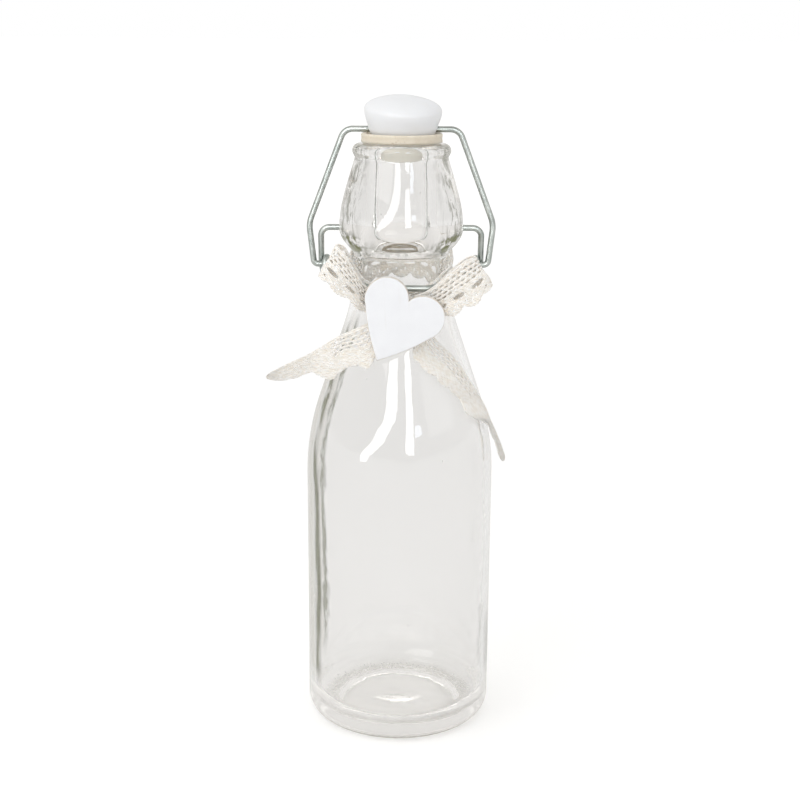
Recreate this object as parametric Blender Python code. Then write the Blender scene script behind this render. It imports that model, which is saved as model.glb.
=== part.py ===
# Swing-top glass bottle with a lace bow and a wooden heart, in metres, +Z up.
# The bottle stands on z = 0. Its own axis is the empty "bottle_axis", which every piece hangs on.
import bpy
import bmesh
from math import acos, asin, atan2, ceil, cos, hypot, pi, radians, sin
from mathutils import Matrix, Vector

# Glass bottle
BODY_RADIUS = 0.0300
BODY_HEIGHT = 0.0830
WALL = 0.0023
BASE_CORNER = 0.0062
BEARING_OUTER = 0.0240
BEARING_INNER = 0.0214
PUNT_RISE = 0.0026
PUNT_SHOULDER = 0.0188
FLOOR_RISE = 0.0062
FLOOR_RING = 0.0195
FLOOR_LOW = 0.0042
FLOOR_FILLET = 0.0085
SHOULDER_SLOPE = radians(71.1)
SHOULDER_RISE = 0.0260
SLOPE_LOW_RADIUS = 0.02567
SLOPE_RISE = 0.0220
SLOPE_HIGH_RADIUS = 0.0182
NECK_FLARE_RISE = 0.0180
NECK_RADIUS = 0.0149
NECK_WALL = 0.0026
NECK_HEIGHT = 0.0045
BULB_UNDER_RISE = 0.0028
BULB_UNDER_RADIUS = 0.0163
BULB_LOW_RISE = 0.0060
BULB_RADIUS = 0.0194
BULB_CROWN_RISE = 0.0224
BEAD_NECK_RADIUS = 0.01475
BEAD_RISE = 0.0022
BEAD_RADIUS = 0.0153
LIP_RISE = 0.0014
LIP_ROUND = 0.0013
CROWN_SLOPE_TURN = radians(3.5)
BULB_UNDER_SLOPE = radians(-132)
BEAD_NECK_SLOPE = radians(-115)
PUNT_SLOPE = radians(150)
PUNT_TOP_SLOPE = radians(165)
BORE_RADIUS = 0.0075
BORE_DEPTH = 0.0283
MOUTH_ROUND = 0.0010

# Wires, and the running gap kept between neighbours
WIRE_RADIUS = 0.00095
GAP = 0.0003
DIMPLE_DEPTH = 0.0034
DIMPLE_FLARE = 0.0010
CUT_OVERRUN = 0.0020
PIN_ENGAGEMENT = 0.0029

# Lever wire: pivots in the dimples, an eye on each side, a bar in front of the neck
LEVER_CLEARANCE = 0.0057
LEVER_CRANK = 0.0116
LEVER_BEND = 0.0028
EYE_PITCH = 0.00225
EYE_TURNS = 1.25
EYE_STEP = radians(30)
BAR_CLEARANCE = 0.0031
BAR_DROP = 0.0045
BAR_HALF = 0.0095
BAR_BEND = 0.0040

# Yoke wire: pins in the lever's eyes, legs outside the bulb, a cross wire through the stopper
YOKE_SPREAD = 0.0015
YOKE_WIDEST_RISE = 0.0128
YOKE_SHOULDER_CLEARANCE = 0.0024
YOKE_FOOT_BEND = 0.0015
YOKE_SIDE_BEND = 0.0090
YOKE_TOP_BEND = 0.0038
YOKE_PIN_OVERRUN = 0.0008

# Stopper: a domed head with a stem, and a rubber washer with a tapered plug
CROSS_WIRE_RISE = 0.0012
HEAD_RADIUS = 0.0120
HEAD_WAIST_RADIUS = 0.0106
HEAD_WIDEST_RISE = 0.0051
HEAD_DOME_RISE = 0.0050
HEAD_SIDE_RISE = 0.0006
HEAD_BOTTOM_RADIUS = 0.0080
HEAD_WEB = 0.0011
DOME_POWER = 2.6
DOME_SHARES = (0, 0.3, 0.55, 0.75, 0.88)
DOME_END_SLOPE = radians(-42)
HEAD_LOW_SLOPE = radians(-105)
WASHER_RADIUS = 0.0126
WASHER_THICKNESS = 0.0028
WASHER_ROUND = 0.0005
PLUG_RADIUS = 0.0069
PLUG_TIP_RADIUS = 0.0054
PLUG_DEPTH = 0.0061
PLUG_ROUND = 0.0009
STEM_RADIUS = 0.0029
STEM_BARB_RADIUS = 0.0037
STEM_LENGTH = 0.0062
STEM_TIP_RADIUS = 0.0022
STEM_NECK_SHARE = 0.45
BARB_TOP_SHARE = 0.58
BARB_LOW_SHARE = 0.68
DISH_SLOPE = radians(75)
PLUG_SLOPE = radians(-105)

# Lace ribbon
LACE_WIDTH = 0.0150
LACE_THICKNESS = 0.0009
SCALLOP_PITCH = 0.0070
SCALLOP_DEPTH = 0.0011
BAND_BACK_RISE = 0.00135
BAND_BACK_WIDTH = 0.0120
BAND_FRONT_HEIGHT = 0.0080
BAND_STATIONS = 8
BAND_RISE_POWER = 0.7
KNOT_HALF_LENGTH = 0.0033
KNOT_HALF_DEPTH = 0.0021
KNOT_HALF_HEIGHT = 0.0042
KNOT_TAPER_SHARE = 0.12
KNOT_STATION_SHARES = (-1, -0.93, -0.7, -0.25, 0.25, 0.7, 0.93, 1)
KNOT_OFFSET = 0.0005

# Wooden heart, and the glue that holds it on the knot
HEART_THICKNESS = 0.0025
HEART_LOBE_RADIUS = 0.00665
HEART_LOBE_HALF = 0.00614
HEART_LOBE_RISE = 0.0181
HEART_TILT = radians(27.6)
HEART_TIP_OFFSET = -0.0071
HEART_TIP_DROP = 0.0150
HEART_EDGE = 0.0003
HEART_SWELL_SHARE = 0.035
HEART_CREST_SHARE = 1.02
GLUE_RADIUS = 0.0026
GLUE_TAPER_SHARE = 0.9

# Bow stations: across, up and forward from the knot, in shares of the lace's width
LEFT_LOOP_HEADING_SHARES = (
    (-0.245, 0.27, -0.02), (-0.50, 0.33, 0.03), (-0.70, 0.44, 0.06), (-0.92, 0.84, 0.11),
    (-1.14, 1.27, 0.15), (-1.30, 1.33, 0.28), (-1.12, 1.15, 0.41), (-0.93, 0.82, 0.31),
    (-0.70, 0.46, 0.14), (-0.245, 0.27, 0.08),
)
LEFT_LOOP_SCALLOP_SHARES = (
    (-0.245, 0.00, -0.02), (-0.50, -0.04, 0.03), (-0.74, 0.02, 0.06), (-1.04, 0.28, 0.08),
    (-1.44, 0.64, 0.11), (-1.66, 0.72, 0.26), (-1.42, 0.48, 0.40), (-1.08, 0.22, 0.31),
    (-0.74, -0.06, 0.14), (-0.245, 0.00, 0.08),
)
RIGHT_LOOP_HEADING_SHARES = (
    (0.245, 0.27, -0.02), (0.55, 0.38, 0.03), (0.90, 0.76, 0.08), (1.25, 1.07, 0.12),
    (1.42, 1.12, 0.28), (1.19, 1.02, 0.42), (0.87, 0.73, 0.31), (0.52, 0.42, 0.13),
    (0.245, 0.27, 0.08),
)
RIGHT_LOOP_SCALLOP_SHARES = (
    (0.245, 0.00, -0.02), (0.58, -0.10, 0.03), (1.05, 0.10, 0.08), (1.58, 0.40, 0.12),
    (1.80, 0.56, 0.26), (1.55, 0.26, 0.41), (1.22, 0.06, 0.31), (0.86, -0.14, 0.14),
    (0.245, 0.00, 0.08),
)

# Tail stations: azimuth from the front in degrees, then up and off the glass in shares of the width
LEFT_TAIL_HEADING_SHARES = (
    (-9.0, -0.05, 0.295), (-26.0, -0.28, 0.463), (-41.2, -0.53, 0.67), (-47.0, -0.68, 0.767),
    (-54.6, -0.94, 0.973), (-59.7, -1.13, 1.247), (-64.3, -1.38, 1.593),
)
LEFT_TAIL_SCALLOP_SHARES = (
    (-9.0, -0.24, 0.243), (-22.7, -1.14, 0.20), (-36.3, -1.16, 0.383), (-44.6, -1.45, 0.45),
    (-53.3, -1.33, 0.84), (-59.3, -1.48, 1.093), (-64.0, -1.50, 1.527),
)
RIGHT_TAIL_HEADING_SHARES = (
    (11.7, -0.05, 0.307), (35.1, -0.72, 0.10), (50.1, -1.09, 0.09), (63.5, -1.65, 0.08),
    (75.5, -2.24, 0.09), (79.1, -2.49, 0.095), (80.5, -2.72, 0.13), (84.8, -3.20, 0.233),
    (85.0, -3.51, 0.31),
)
RIGHT_TAIL_SCALLOP_SHARES = (
    (11.7, -0.24, 0.253), (11.2, -0.98, 0.127), (23.2, -1.31, 0.11), (34.9, -1.62, 0.10),
    (45.5, -1.93, 0.09), (50.0, -2.25, 0.085), (71.4, -2.60, 0.085), (79.5, -3.05, 0.12),
    (83.0, -3.54, 0.21),
)

# The bow reaches further to the left, so the bottle's axis stands right of the middle of the whole part
AXIS_OFFSET = 0.0034

# Segment counts, and the curves' handles as shares of their chords
TURNS = 36
FINE_TURNS = 32
ARC_STEPS = 5
DRILL_SIDES = 16
WIRE_ROUNDNESS = 4
KNOT_SIDES = 20
LACE_ROWS = 4
LOOP_COLUMNS = 48
BAND_COLUMNS = 48
LEFT_TAIL_COLUMNS = 32
RIGHT_TAIL_COLUMNS = 36
HEART_LOBE_STEPS = 12
HEART_SIDE_STEPS = 5
MERGE = 0.00002
SHARP = radians(50)
PULL_SHARE = 0.36
ROUND_PULL_SHARE = 0.39
LONG_PULL_SHARE = 0.33
BORE_PULL_SHARE = 0.45

# Each piece's own colour, roughness, metallic and transmission
LACE_SURFACE = ((0.86, 0.77, 0.63), 0.9, 0, 0)
WIRE_SURFACE = ((0.42, 0.45, 0.43), 0.35, 1, 0)
SURFACES = {
    "glass_bottle": ((0.93, 0.95, 0.94), 0.02, 0, 1),
    "stopper_head": ((0.86, 0.86, 0.88), 0.35, 0, 0),
    "sealing_washer": ((0.72, 0.62, 0.45), 0.6, 0, 0),
    "yoke_wire": WIRE_SURFACE,
    "lever_wire": WIRE_SURFACE,
    "ribbon_neck_band": LACE_SURFACE,
    "ribbon_knot": LACE_SURFACE,
    "bow_loop_left": LACE_SURFACE,
    "bow_loop_right": LACE_SURFACE,
    "ribbon_tail_left": LACE_SURFACE,
    "ribbon_tail_right": LACE_SURFACE,
    "wooden_heart": ((0.88, 0.88, 0.92), 0.55, 0, 0),
    "glue_dab": ((0.85, 0.83, 0.76), 0.2, 0, 0.6),
}

# Places worked out from the sizes above
SLOPE_LOW = BODY_HEIGHT + SHOULDER_RISE
SLOPE_HIGH = SLOPE_LOW + SLOPE_RISE
NECK_LOW = SLOPE_HIGH + NECK_FLARE_RISE
NECK_HIGH = NECK_LOW + NECK_HEIGHT
BULB_UNDER = NECK_HIGH + BULB_UNDER_RISE
PIVOT = BULB_UNDER + BULB_LOW_RISE
BEAD_LOW = PIVOT + BULB_CROWN_RISE
BEAD_MIDDLE = BEAD_LOW + BEAD_RISE
LIP_TOP = BEAD_MIDDLE + LIP_RISE
LEVER_ARM = BULB_RADIUS + LEVER_CLEARANCE
BAR_REACH = NECK_RADIUS + BAR_CLEARANCE
YOKE_BOTTOM_HALF = LEVER_ARM + 2 * WIRE_RADIUS + GAP
YOKE_WIDEST_HALF = YOKE_BOTTOM_HALF + YOKE_SPREAD
YOKE_SHOULDER_HALF = BEAD_RADIUS + YOKE_SHOULDER_CLEARANCE
EYE = PIVOT - LEVER_CRANK
EYE_RADIUS = 2 * WIRE_RADIUS + GAP
BAR = EYE - BAR_DROP
BAR_SWEEP = hypot(BAR_REACH, PIVOT - BAR) + WIRE_RADIUS
WASHER_LOW = LIP_TOP + GAP
WASHER_TOP = WASHER_LOW + WASHER_THICKNESS
CROSS_WIRE = WASHER_TOP + CROSS_WIRE_RISE
HOLE_RADIUS = WIRE_RADIUS + GAP
HEAD_BOTTOM = CROSS_WIRE - HOLE_RADIUS - HEAD_WEB
KNOT = BAR - WIRE_RADIUS - 3 * GAP - KNOT_HALF_HEIGHT


def wipe():
    for obj in list(bpy.data.objects):
        bpy.data.objects.remove(obj, do_unlink=True)


def surface(name):
    colour, roughness, metallic, transmission = SURFACES[name]
    made = bpy.data.materials.new(name + "_surface")
    made.use_nodes = True
    shader = made.node_tree.nodes["Principled BSDF"]
    shader.inputs["Base Color"].default_value = (*colour, 1)
    shader.inputs["Roughness"].default_value = roughness
    shader.inputs["Metallic"].default_value = metallic
    shader.inputs["Transmission Weight"].default_value = transmission
    return made


def place(obj, parent, origin):
    bpy.context.scene.collection.objects.link(obj)
    obj.parent = parent
    obj.location = origin
    if obj.name in SURFACES:
        obj.data.materials.append(surface(obj.name))
    return obj


def axis_empty(name, parent, origin):
    empty = bpy.data.objects.new(name, None)
    empty.empty_display_size = BODY_RADIUS
    return place(empty, parent, origin)


def curve(start, start_angle, end, end_angle, steps, pull_share=PULL_SHARE):
    """Points of a cubic from start to end, leaving out start; angles are the directions of travel."""
    a, d = Vector(start), Vector(end)
    pull = (d - a).length * pull_share
    b = a + pull * Vector((cos(start_angle), sin(start_angle)))
    c = d - pull * Vector((cos(end_angle), sin(end_angle)))
    points = []
    for i in range(1, steps + 1):
        t = i / steps
        s = 1 - t
        points.append(a * s**3 + b * 3 * s * s * t + c * 3 * s * t * t + d * t**3)
    return points


def outer_profile():
    """The glass from the lip's top edge down to the bearing ring, as (radius, height)."""
    down = -pi / 2
    slope = -SHOULDER_SLOPE
    cone = -atan2(BEAD_LOW - PIVOT, BULB_RADIUS - BEAD_NECK_RADIUS) + CROWN_SLOPE_TURN
    points = [Vector((BEAD_RADIUS - LIP_ROUND, LIP_TOP))]
    points += curve(points[-1], 0, (BEAD_RADIUS, BEAD_MIDDLE), down, 4, ROUND_PULL_SHARE)
    points += curve(points[-1], down, (BEAD_NECK_RADIUS, BEAD_LOW), BEAD_NECK_SLOPE, 3)
    points += curve(points[-1], cone, (BULB_RADIUS, PIVOT), down, 8, LONG_PULL_SHARE)
    points += curve(points[-1], down, (BULB_UNDER_RADIUS, BULB_UNDER), BULB_UNDER_SLOPE, 5)
    points += curve(points[-1], BULB_UNDER_SLOPE, (NECK_RADIUS, NECK_HIGH), down, 3)
    points.append(Vector((NECK_RADIUS, NECK_LOW)))
    points += curve(points[-1], down, (SLOPE_HIGH_RADIUS, SLOPE_HIGH), slope, 5, LONG_PULL_SHARE)
    points.append(Vector((SLOPE_LOW_RADIUS, SLOPE_LOW)))
    points += curve(points[-1], slope, (BODY_RADIUS, BODY_HEIGHT), down, 6, LONG_PULL_SHARE)
    return points


def inner_profile():
    """The inside, from the floor's middle up to the mouth's top edge."""
    up = pi / 2
    slope = pi - SHOULDER_SLOPE
    inside = Vector((-sin(SHOULDER_SLOPE), -cos(SHOULDER_SLOPE))) * WALL
    points = [Vector((0, FLOOR_RISE))]
    points += curve(points[-1], 0, (FLOOR_RING, FLOOR_LOW), 0, 4)
    wall_radius = BODY_RADIUS - WALL
    points += curve(points[-1], 0, (wall_radius, FLOOR_LOW + FLOOR_FILLET), up, 4, ROUND_PULL_SHARE)
    points.append(Vector((wall_radius, BODY_HEIGHT)))
    slope_low = Vector((SLOPE_LOW_RADIUS, SLOPE_LOW)) + inside
    slope_high = Vector((SLOPE_HIGH_RADIUS, SLOPE_HIGH)) + inside
    points += curve(points[-1], up, slope_low, slope, 5, LONG_PULL_SHARE)
    points.append(slope_high)
    points += curve(points[-1], slope, (NECK_RADIUS - NECK_WALL, NECK_LOW), up, 4, LONG_PULL_SHARE)
    points += curve(points[-1], up, (BORE_RADIUS, LIP_TOP - BORE_DEPTH), up, 6, BORE_PULL_SHARE)
    points.append(Vector((BORE_RADIUS, LIP_TOP - MOUTH_ROUND)))
    points += curve(points[-1], up, (BORE_RADIUS + MOUTH_ROUND, LIP_TOP), 0, 3, ROUND_PULL_SHARE)
    return points


def glass_radius(height):
    """The glass's outer radius at a height, between the body and the lip."""
    points = outer_profile()
    for high, low in zip(points, points[1:]):
        if low.y <= height <= high.y and high.y > low.y:
            share = (height - low.y) / (high.y - low.y)
            return low.x + share * (high.x - low.x)
    return BODY_RADIUS


def lathe(name, points, parent, turns):
    """A turned piece: its profile runs up the inside and down the outside."""
    mesh = bpy.data.meshes.new(name)
    edges = [(i, i + 1) for i in range(len(points) - 1)]
    mesh.from_pydata([(p[0], 0, p[1]) for p in points], edges, [])
    obj = place(bpy.data.objects.new(name, mesh), parent, (0, 0, 0))
    screw = obj.modifiers.new("turn", "SCREW")
    screw.axis = "Z"
    screw.steps = turns
    screw.render_steps = turns
    screw.use_merge_vertices = True
    screw.merge_threshold = MERGE
    screw.use_smooth_shade = True
    return obj


def drill(obj, name, low_radius, high_radius, depth, centre, along):
    """Cut a round hole, a cone where its two radii differ, centred on a point of the piece's parent."""
    work = bmesh.new()
    turn = Vector((0, 0, 1)).rotation_difference(along).to_matrix().to_4x4()
    bmesh.ops.create_cone(
        work, cap_ends=True, segments=DRILL_SIDES, radius1=low_radius, radius2=high_radius,
        depth=depth, matrix=turn,
    )
    mesh = bpy.data.meshes.new(name)
    work.to_mesh(mesh)
    work.free()
    cutter = place(bpy.data.objects.new(name, mesh), obj.parent, centre)
    cutter.hide_render = True
    cutter.display_type = "WIRE"
    cut = obj.modifiers.new(name, "BOOLEAN")
    cut.operation = "DIFFERENCE"
    cut.solver = "EXACT"
    cut.object = cutter


def bent(corners):
    """A wire's route: each corner is a point and its bend radius, 0 at an end."""
    route = [Vector(corners[0][0])]
    for (before, _), (corner, radius), (after, _) in zip(corners, corners[1:], corners[2:]):
        corner = Vector(corner)
        to_start = (Vector(before) - corner).normalized()
        to_end = (Vector(after) - corner).normalized()
        half = to_start.angle(to_end) / 2
        reach = radius * cos(half) / sin(half)
        centre = corner + (to_start + to_end).normalized() * radius / sin(half)
        first = corner + to_start * reach - centre
        last = corner + to_end * reach - centre
        axis = first.cross(last)
        turn = first.angle(last)
        steps = max(2, ceil(turn / (pi / 2) * ARC_STEPS))
        for i in range(steps + 1):
            route.append(centre + Matrix.Rotation(turn * i / steps, 3, axis) @ first)
    route.append(Vector(corners[-1][0]))
    return route


def mirrored(half):
    """A half route from the middle out, joined to its mirror image across x = 0."""
    other = [Vector((-p.x, p.y, p.z)) for p in reversed(half)]
    return other + half


def wire(name, route, parent):
    data = bpy.data.curves.new(name, "CURVE")
    data.dimensions = "3D"
    data.bevel_depth = WIRE_RADIUS
    data.bevel_resolution = WIRE_ROUNDNESS
    data.use_fill_caps = True
    spline = data.splines.new("POLY")
    spline.points.add(len(route) - 1)
    for point, position in zip(spline.points, route):
        point.co = (*position, 1)
    spline.use_smooth = True
    return place(bpy.data.objects.new(name, data), parent, (0, 0, 0))


def lever_route():
    """Half of the lever from the middle of its bar, with the pivot at the origin."""
    bar = Vector((-BAR_REACH, BAR - PIVOT))
    eye = Vector((0, EYE - PIVOT))
    to_bar = bar - eye
    leave = atan2(to_bar.y, to_bar.x) + acos(EYE_RADIUS / to_bar.length)
    enter = pi / 2 - acos(EYE_RADIUS / LEVER_CRANK)
    wrap = enter - leave + 2 * pi
    inner = LEVER_ARM - EYE_PITCH * wrap / (2 * pi)
    turns = []
    steps = ceil(wrap / EYE_STEP)
    for i in range(steps + 1):
        share = i / steps
        angle = leave + wrap * share
        turns.append(Vector((
            inner + (LEVER_ARM - inner) * share,
            eye.x + EYE_RADIUS * cos(angle),
            eye.y + EYE_RADIUS * sin(angle),
        )))
    tip = BULB_RADIUS - PIN_ENGAGEMENT
    front = bent([
        ((0, -BAR_REACH, BAR - PIVOT), 0),
        ((BAR_HALF, -BAR_REACH, BAR - PIVOT), BAR_BEND),
        (turns[0], 0),
    ])
    top = bent([(turns[-1], 0), ((LEVER_ARM, 0, 0), LEVER_BEND), ((tip, 0, 0), 0)])
    return front[1:-1] + turns + top[1:]


def yoke_route():
    """Half of the yoke from the middle of its cross wire, with its pins at the origin's height."""
    rise = CROSS_WIRE - EYE
    inner_eye = LEVER_ARM - EYE_PITCH * EYE_TURNS
    pin_end = inner_eye - WIRE_RADIUS - YOKE_PIN_OVERRUN
    return bent([
        ((0, 0, rise), 0),
        ((YOKE_SHOULDER_HALF, 0, rise), YOKE_TOP_BEND),
        ((YOKE_WIDEST_HALF, 0, YOKE_WIDEST_RISE), YOKE_SIDE_BEND),
        ((YOKE_BOTTOM_HALF, 0, 0), YOKE_FOOT_BEND),
        ((pin_end, 0, 0), 0),
    ])[1:]


def head_profile():
    """The stopper head from its top outward and down to its stem: heights are above the cross wire."""
    bottom = HEAD_BOTTOM - CROSS_WIRE
    points = [
        Vector((HEAD_RADIUS * share, HEAD_WIDEST_RISE + HEAD_DOME_RISE * (1 - share**DOME_POWER)))
        for share in DOME_SHARES
    ]
    side = (HEAD_WAIST_RADIUS, HEAD_SIDE_RISE)
    points += curve(points[-1], DOME_END_SLOPE, (HEAD_RADIUS, HEAD_WIDEST_RISE), -pi / 2, 4)
    points += curve(points[-1], -pi / 2, side, HEAD_LOW_SLOPE, 3, LONG_PULL_SHARE)
    points += curve(points[-1], HEAD_LOW_SLOPE, (HEAD_BOTTOM_RADIUS, bottom), pi, 5)
    points += stem_profile(bottom, 0)
    return points


def stem_profile(bottom, gap):
    """The stem with its barb, or with a gap the socket that takes it, from the top down to the axis."""
    tip = bottom - STEM_LENGTH
    return [
        Vector((STEM_RADIUS + gap, bottom - gap)),
        Vector((STEM_RADIUS + gap, bottom - STEM_LENGTH * STEM_NECK_SHARE)),
        Vector((STEM_BARB_RADIUS + gap, bottom - STEM_LENGTH * BARB_TOP_SHARE)),
        Vector((STEM_BARB_RADIUS + gap, bottom - STEM_LENGTH * BARB_LOW_SHARE)),
        Vector((STEM_TIP_RADIUS + gap, tip - gap)),
        Vector((0, tip - gap)),
    ]


def washer_profile():
    """The washer from its socket's bottom up the inside, over the dish and the rim, and down the plug."""
    low = WASHER_LOW - CROSS_WIRE
    top = WASHER_TOP - CROSS_WIRE
    dish = HEAD_BOTTOM - CROSS_WIRE - GAP
    dish_edge = HEAD_WAIST_RADIUS + GAP
    tip = LIP_TOP - PLUG_DEPTH - CROSS_WIRE
    points = list(reversed(stem_profile(HEAD_BOTTOM - CROSS_WIRE, GAP)))
    points[-1].y = dish
    points.append(Vector((HEAD_BOTTOM_RADIUS, dish)))
    points += curve(points[-1], 0, (dish_edge, top), DISH_SLOPE, 3)
    points.append(Vector((WASHER_RADIUS - WASHER_ROUND, top)))
    points += curve(points[-1], 0, (WASHER_RADIUS, top - WASHER_ROUND), -pi / 2, 2, ROUND_PULL_SHARE)
    points.append(Vector((WASHER_RADIUS, low + WASHER_ROUND)))
    points += curve(points[-1], -pi / 2, (WASHER_RADIUS - WASHER_ROUND, low), pi, 2, ROUND_PULL_SHARE)
    points.append(Vector((PLUG_RADIUS, low)))
    points.append(Vector((PLUG_TIP_RADIUS, tip + PLUG_ROUND)))
    points += curve(points[-1], PLUG_SLOPE, (PLUG_TIP_RADIUS - PLUG_ROUND, tip), pi, 2)
    points.append(Vector((0, tip)))
    return points


def between(values, share):
    """A smooth value through evenly spaced stations."""
    last = len(values) - 1
    at = min(share * last, last - 1e-9)
    i = int(at)
    t = at - i
    p1, p2 = Vector(values[i]), Vector(values[i + 1])
    p0 = Vector(values[i - 1]) if i > 0 else 2 * p1 - p2
    p3 = Vector(values[i + 2]) if i + 2 <= last else 2 * p2 - p1
    return (
        2 * p1
        + (p2 - p0) * t
        + (2 * p0 - 5 * p1 + 4 * p2 - p3) * t**2
        + (3 * p1 - p0 - 3 * p2 + p3) * t**3
    ) / 2


def bow_point(station):
    """A place near the knot, from shares of the lace's width: across, up and forward."""
    across, up, forward = Vector(station) * LACE_WIDTH
    return Vector((KNOT_OFFSET + across, -(KNOT_FRONT - KNOT_HALF_DEPTH) - forward, KNOT + up))


def glass_point(station):
    """A place off the glass: azimuth from the front in degrees, then up and outward in shares."""
    height = KNOT + station[1] * LACE_WIDTH
    radius = glass_radius(height) + station[2] * LACE_WIDTH
    angle = radians(station[0])
    return Vector((radius * sin(angle), -radius * cos(angle), height))


def strip(name, heading, scallop, point, columns, parent, closed=False):
    """A run of lace between its straight heading edge and its scalloped edge."""
    around = columns if closed else columns + 1
    edge_length = sum(
        (point(between(scallop, (i + 1) / columns)) - point(between(scallop, i / columns))).length
        for i in range(columns)
    )
    scallops = max(1, round(edge_length / SCALLOP_PITCH))
    work = bmesh.new()
    grid = []
    for i in range(around):
        share = i / columns
        start = between(heading, share)
        end = between(scallop, share)
        width = (point(end) - point(start)).length
        wave = SCALLOP_DEPTH * abs(sin(pi * scallops * share)) * min(1, width / LACE_WIDTH)
        reach = 1 + wave / max(width, SCALLOP_DEPTH)
        grid.append([
            work.verts.new(point(start + (end - start) * (reach * j / LACE_ROWS)))
            for j in range(LACE_ROWS + 1)
        ])
    for i in range(columns):
        here, following = grid[i], grid[(i + 1) % around]
        for j in range(LACE_ROWS):
            work.faces.new((here[j], following[j], following[j + 1], here[j + 1]))
    mesh = bpy.data.meshes.new(name)
    work.to_mesh(mesh)
    work.free()
    mesh.shade_smooth()
    obj = place(bpy.data.objects.new(name, mesh), parent, (0, 0, 0))
    solid = obj.modifiers.new("thickness", "SOLIDIFY")
    solid.thickness = LACE_THICKNESS
    solid.offset = 0


def neck_band(parent):
    """The run round the neck: high at the back, drawn down behind the knot in front."""
    off = (GAP + LACE_THICKNESS / 2) / LACE_WIDTH
    front = (BAND_FRONT_HEIGHT / 2) / LACE_WIDTH
    back_low = BAND_BACK_RISE / LACE_WIDTH
    back_high = back_low + BAND_BACK_WIDTH / LACE_WIDTH
    heading = []
    scallop = []
    for i in range(BAND_STATIONS + 1):
        azimuth = 360 * i / BAND_STATIONS
        rise = ((1 - cos(radians(azimuth))) / 2) ** BAND_RISE_POWER
        heading.append((azimuth, front + (back_high - front) * rise, off))
        scallop.append((azimuth, -front + (back_low + front) * rise, off))
    strip("ribbon_neck_band", heading, scallop, glass_point, BAND_COLUMNS, parent, closed=True)


def knot(parent):
    """A short wrapped roll along X, fuller in its middle."""
    work = bmesh.new()
    rings = []
    for at in KNOT_STATION_SHARES:
        swell = 1 - KNOT_TAPER_SHARE * abs(at) ** 3
        ring = []
        for i in range(KNOT_SIDES):
            angle = 2 * pi * i / KNOT_SIDES
            ring.append(work.verts.new((
                at * KNOT_HALF_LENGTH,
                KNOT_HALF_DEPTH * swell * cos(angle),
                KNOT_HALF_HEIGHT * swell * sin(angle),
            )))
        rings.append(ring)
    for a, b in zip(rings, rings[1:]):
        for i in range(KNOT_SIDES):
            j = (i + 1) % KNOT_SIDES
            work.faces.new((a[i], a[j], b[j], b[i]))
    work.faces.new(list(reversed(rings[0])))
    work.faces.new(rings[-1])
    bmesh.ops.recalc_face_normals(work, faces=work.faces)
    mesh = bpy.data.meshes.new("ribbon_knot")
    work.to_mesh(mesh)
    work.free()
    mesh.shade_smooth()
    mesh.set_sharp_from_angle(angle=SHARP)
    origin = (KNOT_OFFSET, -(KNOT_FRONT - KNOT_HALF_DEPTH), KNOT)
    place(bpy.data.objects.new("ribbon_knot", mesh), parent, origin)


def heart_outline():
    """Half outline from the notch round the right lobe to the tip, with the tip at the origin."""
    lobe = Vector((HEART_LOBE_HALF, HEART_LOBE_RISE))
    notch_angle = pi - acos(HEART_LOBE_HALF / HEART_LOBE_RADIUS)
    tangent = -asin(HEART_LOBE_RADIUS / lobe.length) + atan2(HEART_LOBE_RISE, HEART_LOBE_HALF) - pi / 2
    points = []
    for i in range(HEART_LOBE_STEPS + 1):
        angle = notch_angle + (tangent - notch_angle) * i / HEART_LOBE_STEPS
        points.append(lobe + HEART_LOBE_RADIUS * Vector((cos(angle), sin(angle))))
    start = points[-1]
    side = -start
    swell = Vector((-side.y, side.x)) * HEART_SWELL_SHARE
    for i in range(1, HEART_SIDE_STEPS):
        share = i / HEART_SIDE_STEPS
        points.append(start + side * share + swell * sin(pi * share))
    return points


def heart(parent):
    half = heart_outline()
    left = [Vector((-p.x, p.y)) for p in reversed(half[1:])]
    outline = half + [Vector((0, 0))] + left
    turn = Matrix.Rotation(-HEART_TILT, 2)
    work = bmesh.new()
    corners = []
    for p in outline:
        q = turn @ p
        corners.append(work.verts.new((q.x, 0, q.y)))
    face = work.faces.new(corners)
    thick = bmesh.ops.extrude_face_region(work, geom=[face])
    moved = [v for v in thick["geom"] if isinstance(v, bmesh.types.BMVert)]
    bmesh.ops.translate(work, verts=moved, vec=(0, -HEART_THICKNESS, 0))
    bmesh.ops.recalc_face_normals(work, faces=work.faces)
    mesh = bpy.data.meshes.new("wooden_heart")
    work.to_mesh(mesh)
    work.free()
    mesh.shade_smooth()
    mesh.set_sharp_from_angle(angle=SHARP)
    origin = (HEART_TIP_OFFSET, -HEART_BACK, KNOT - HEART_TIP_DROP)
    obj = place(bpy.data.objects.new("wooden_heart", mesh), parent, origin)
    edge = obj.modifiers.new("edge", "BEVEL")
    edge.width = HEART_EDGE
    edge.segments = 1
    edge.limit_method = "ANGLE"
    edge.angle_limit = SHARP


def glue(parent):
    work = bmesh.new()
    bmesh.ops.create_cone(
        work, cap_ends=True, segments=KNOT_SIDES, radius1=GLUE_RADIUS,
        radius2=GLUE_RADIUS * GLUE_TAPER_SHARE, depth=HEART_BACK - KNOT_FRONT - 2 * GAP,
        matrix=Matrix.Rotation(pi / 2, 4, "X"),
    )
    mesh = bpy.data.meshes.new("glue_dab")
    work.to_mesh(mesh)
    work.free()
    origin = (KNOT_OFFSET, -(HEART_BACK + KNOT_FRONT) / 2, KNOT)
    place(bpy.data.objects.new("glue_dab", mesh), parent, origin)


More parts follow.
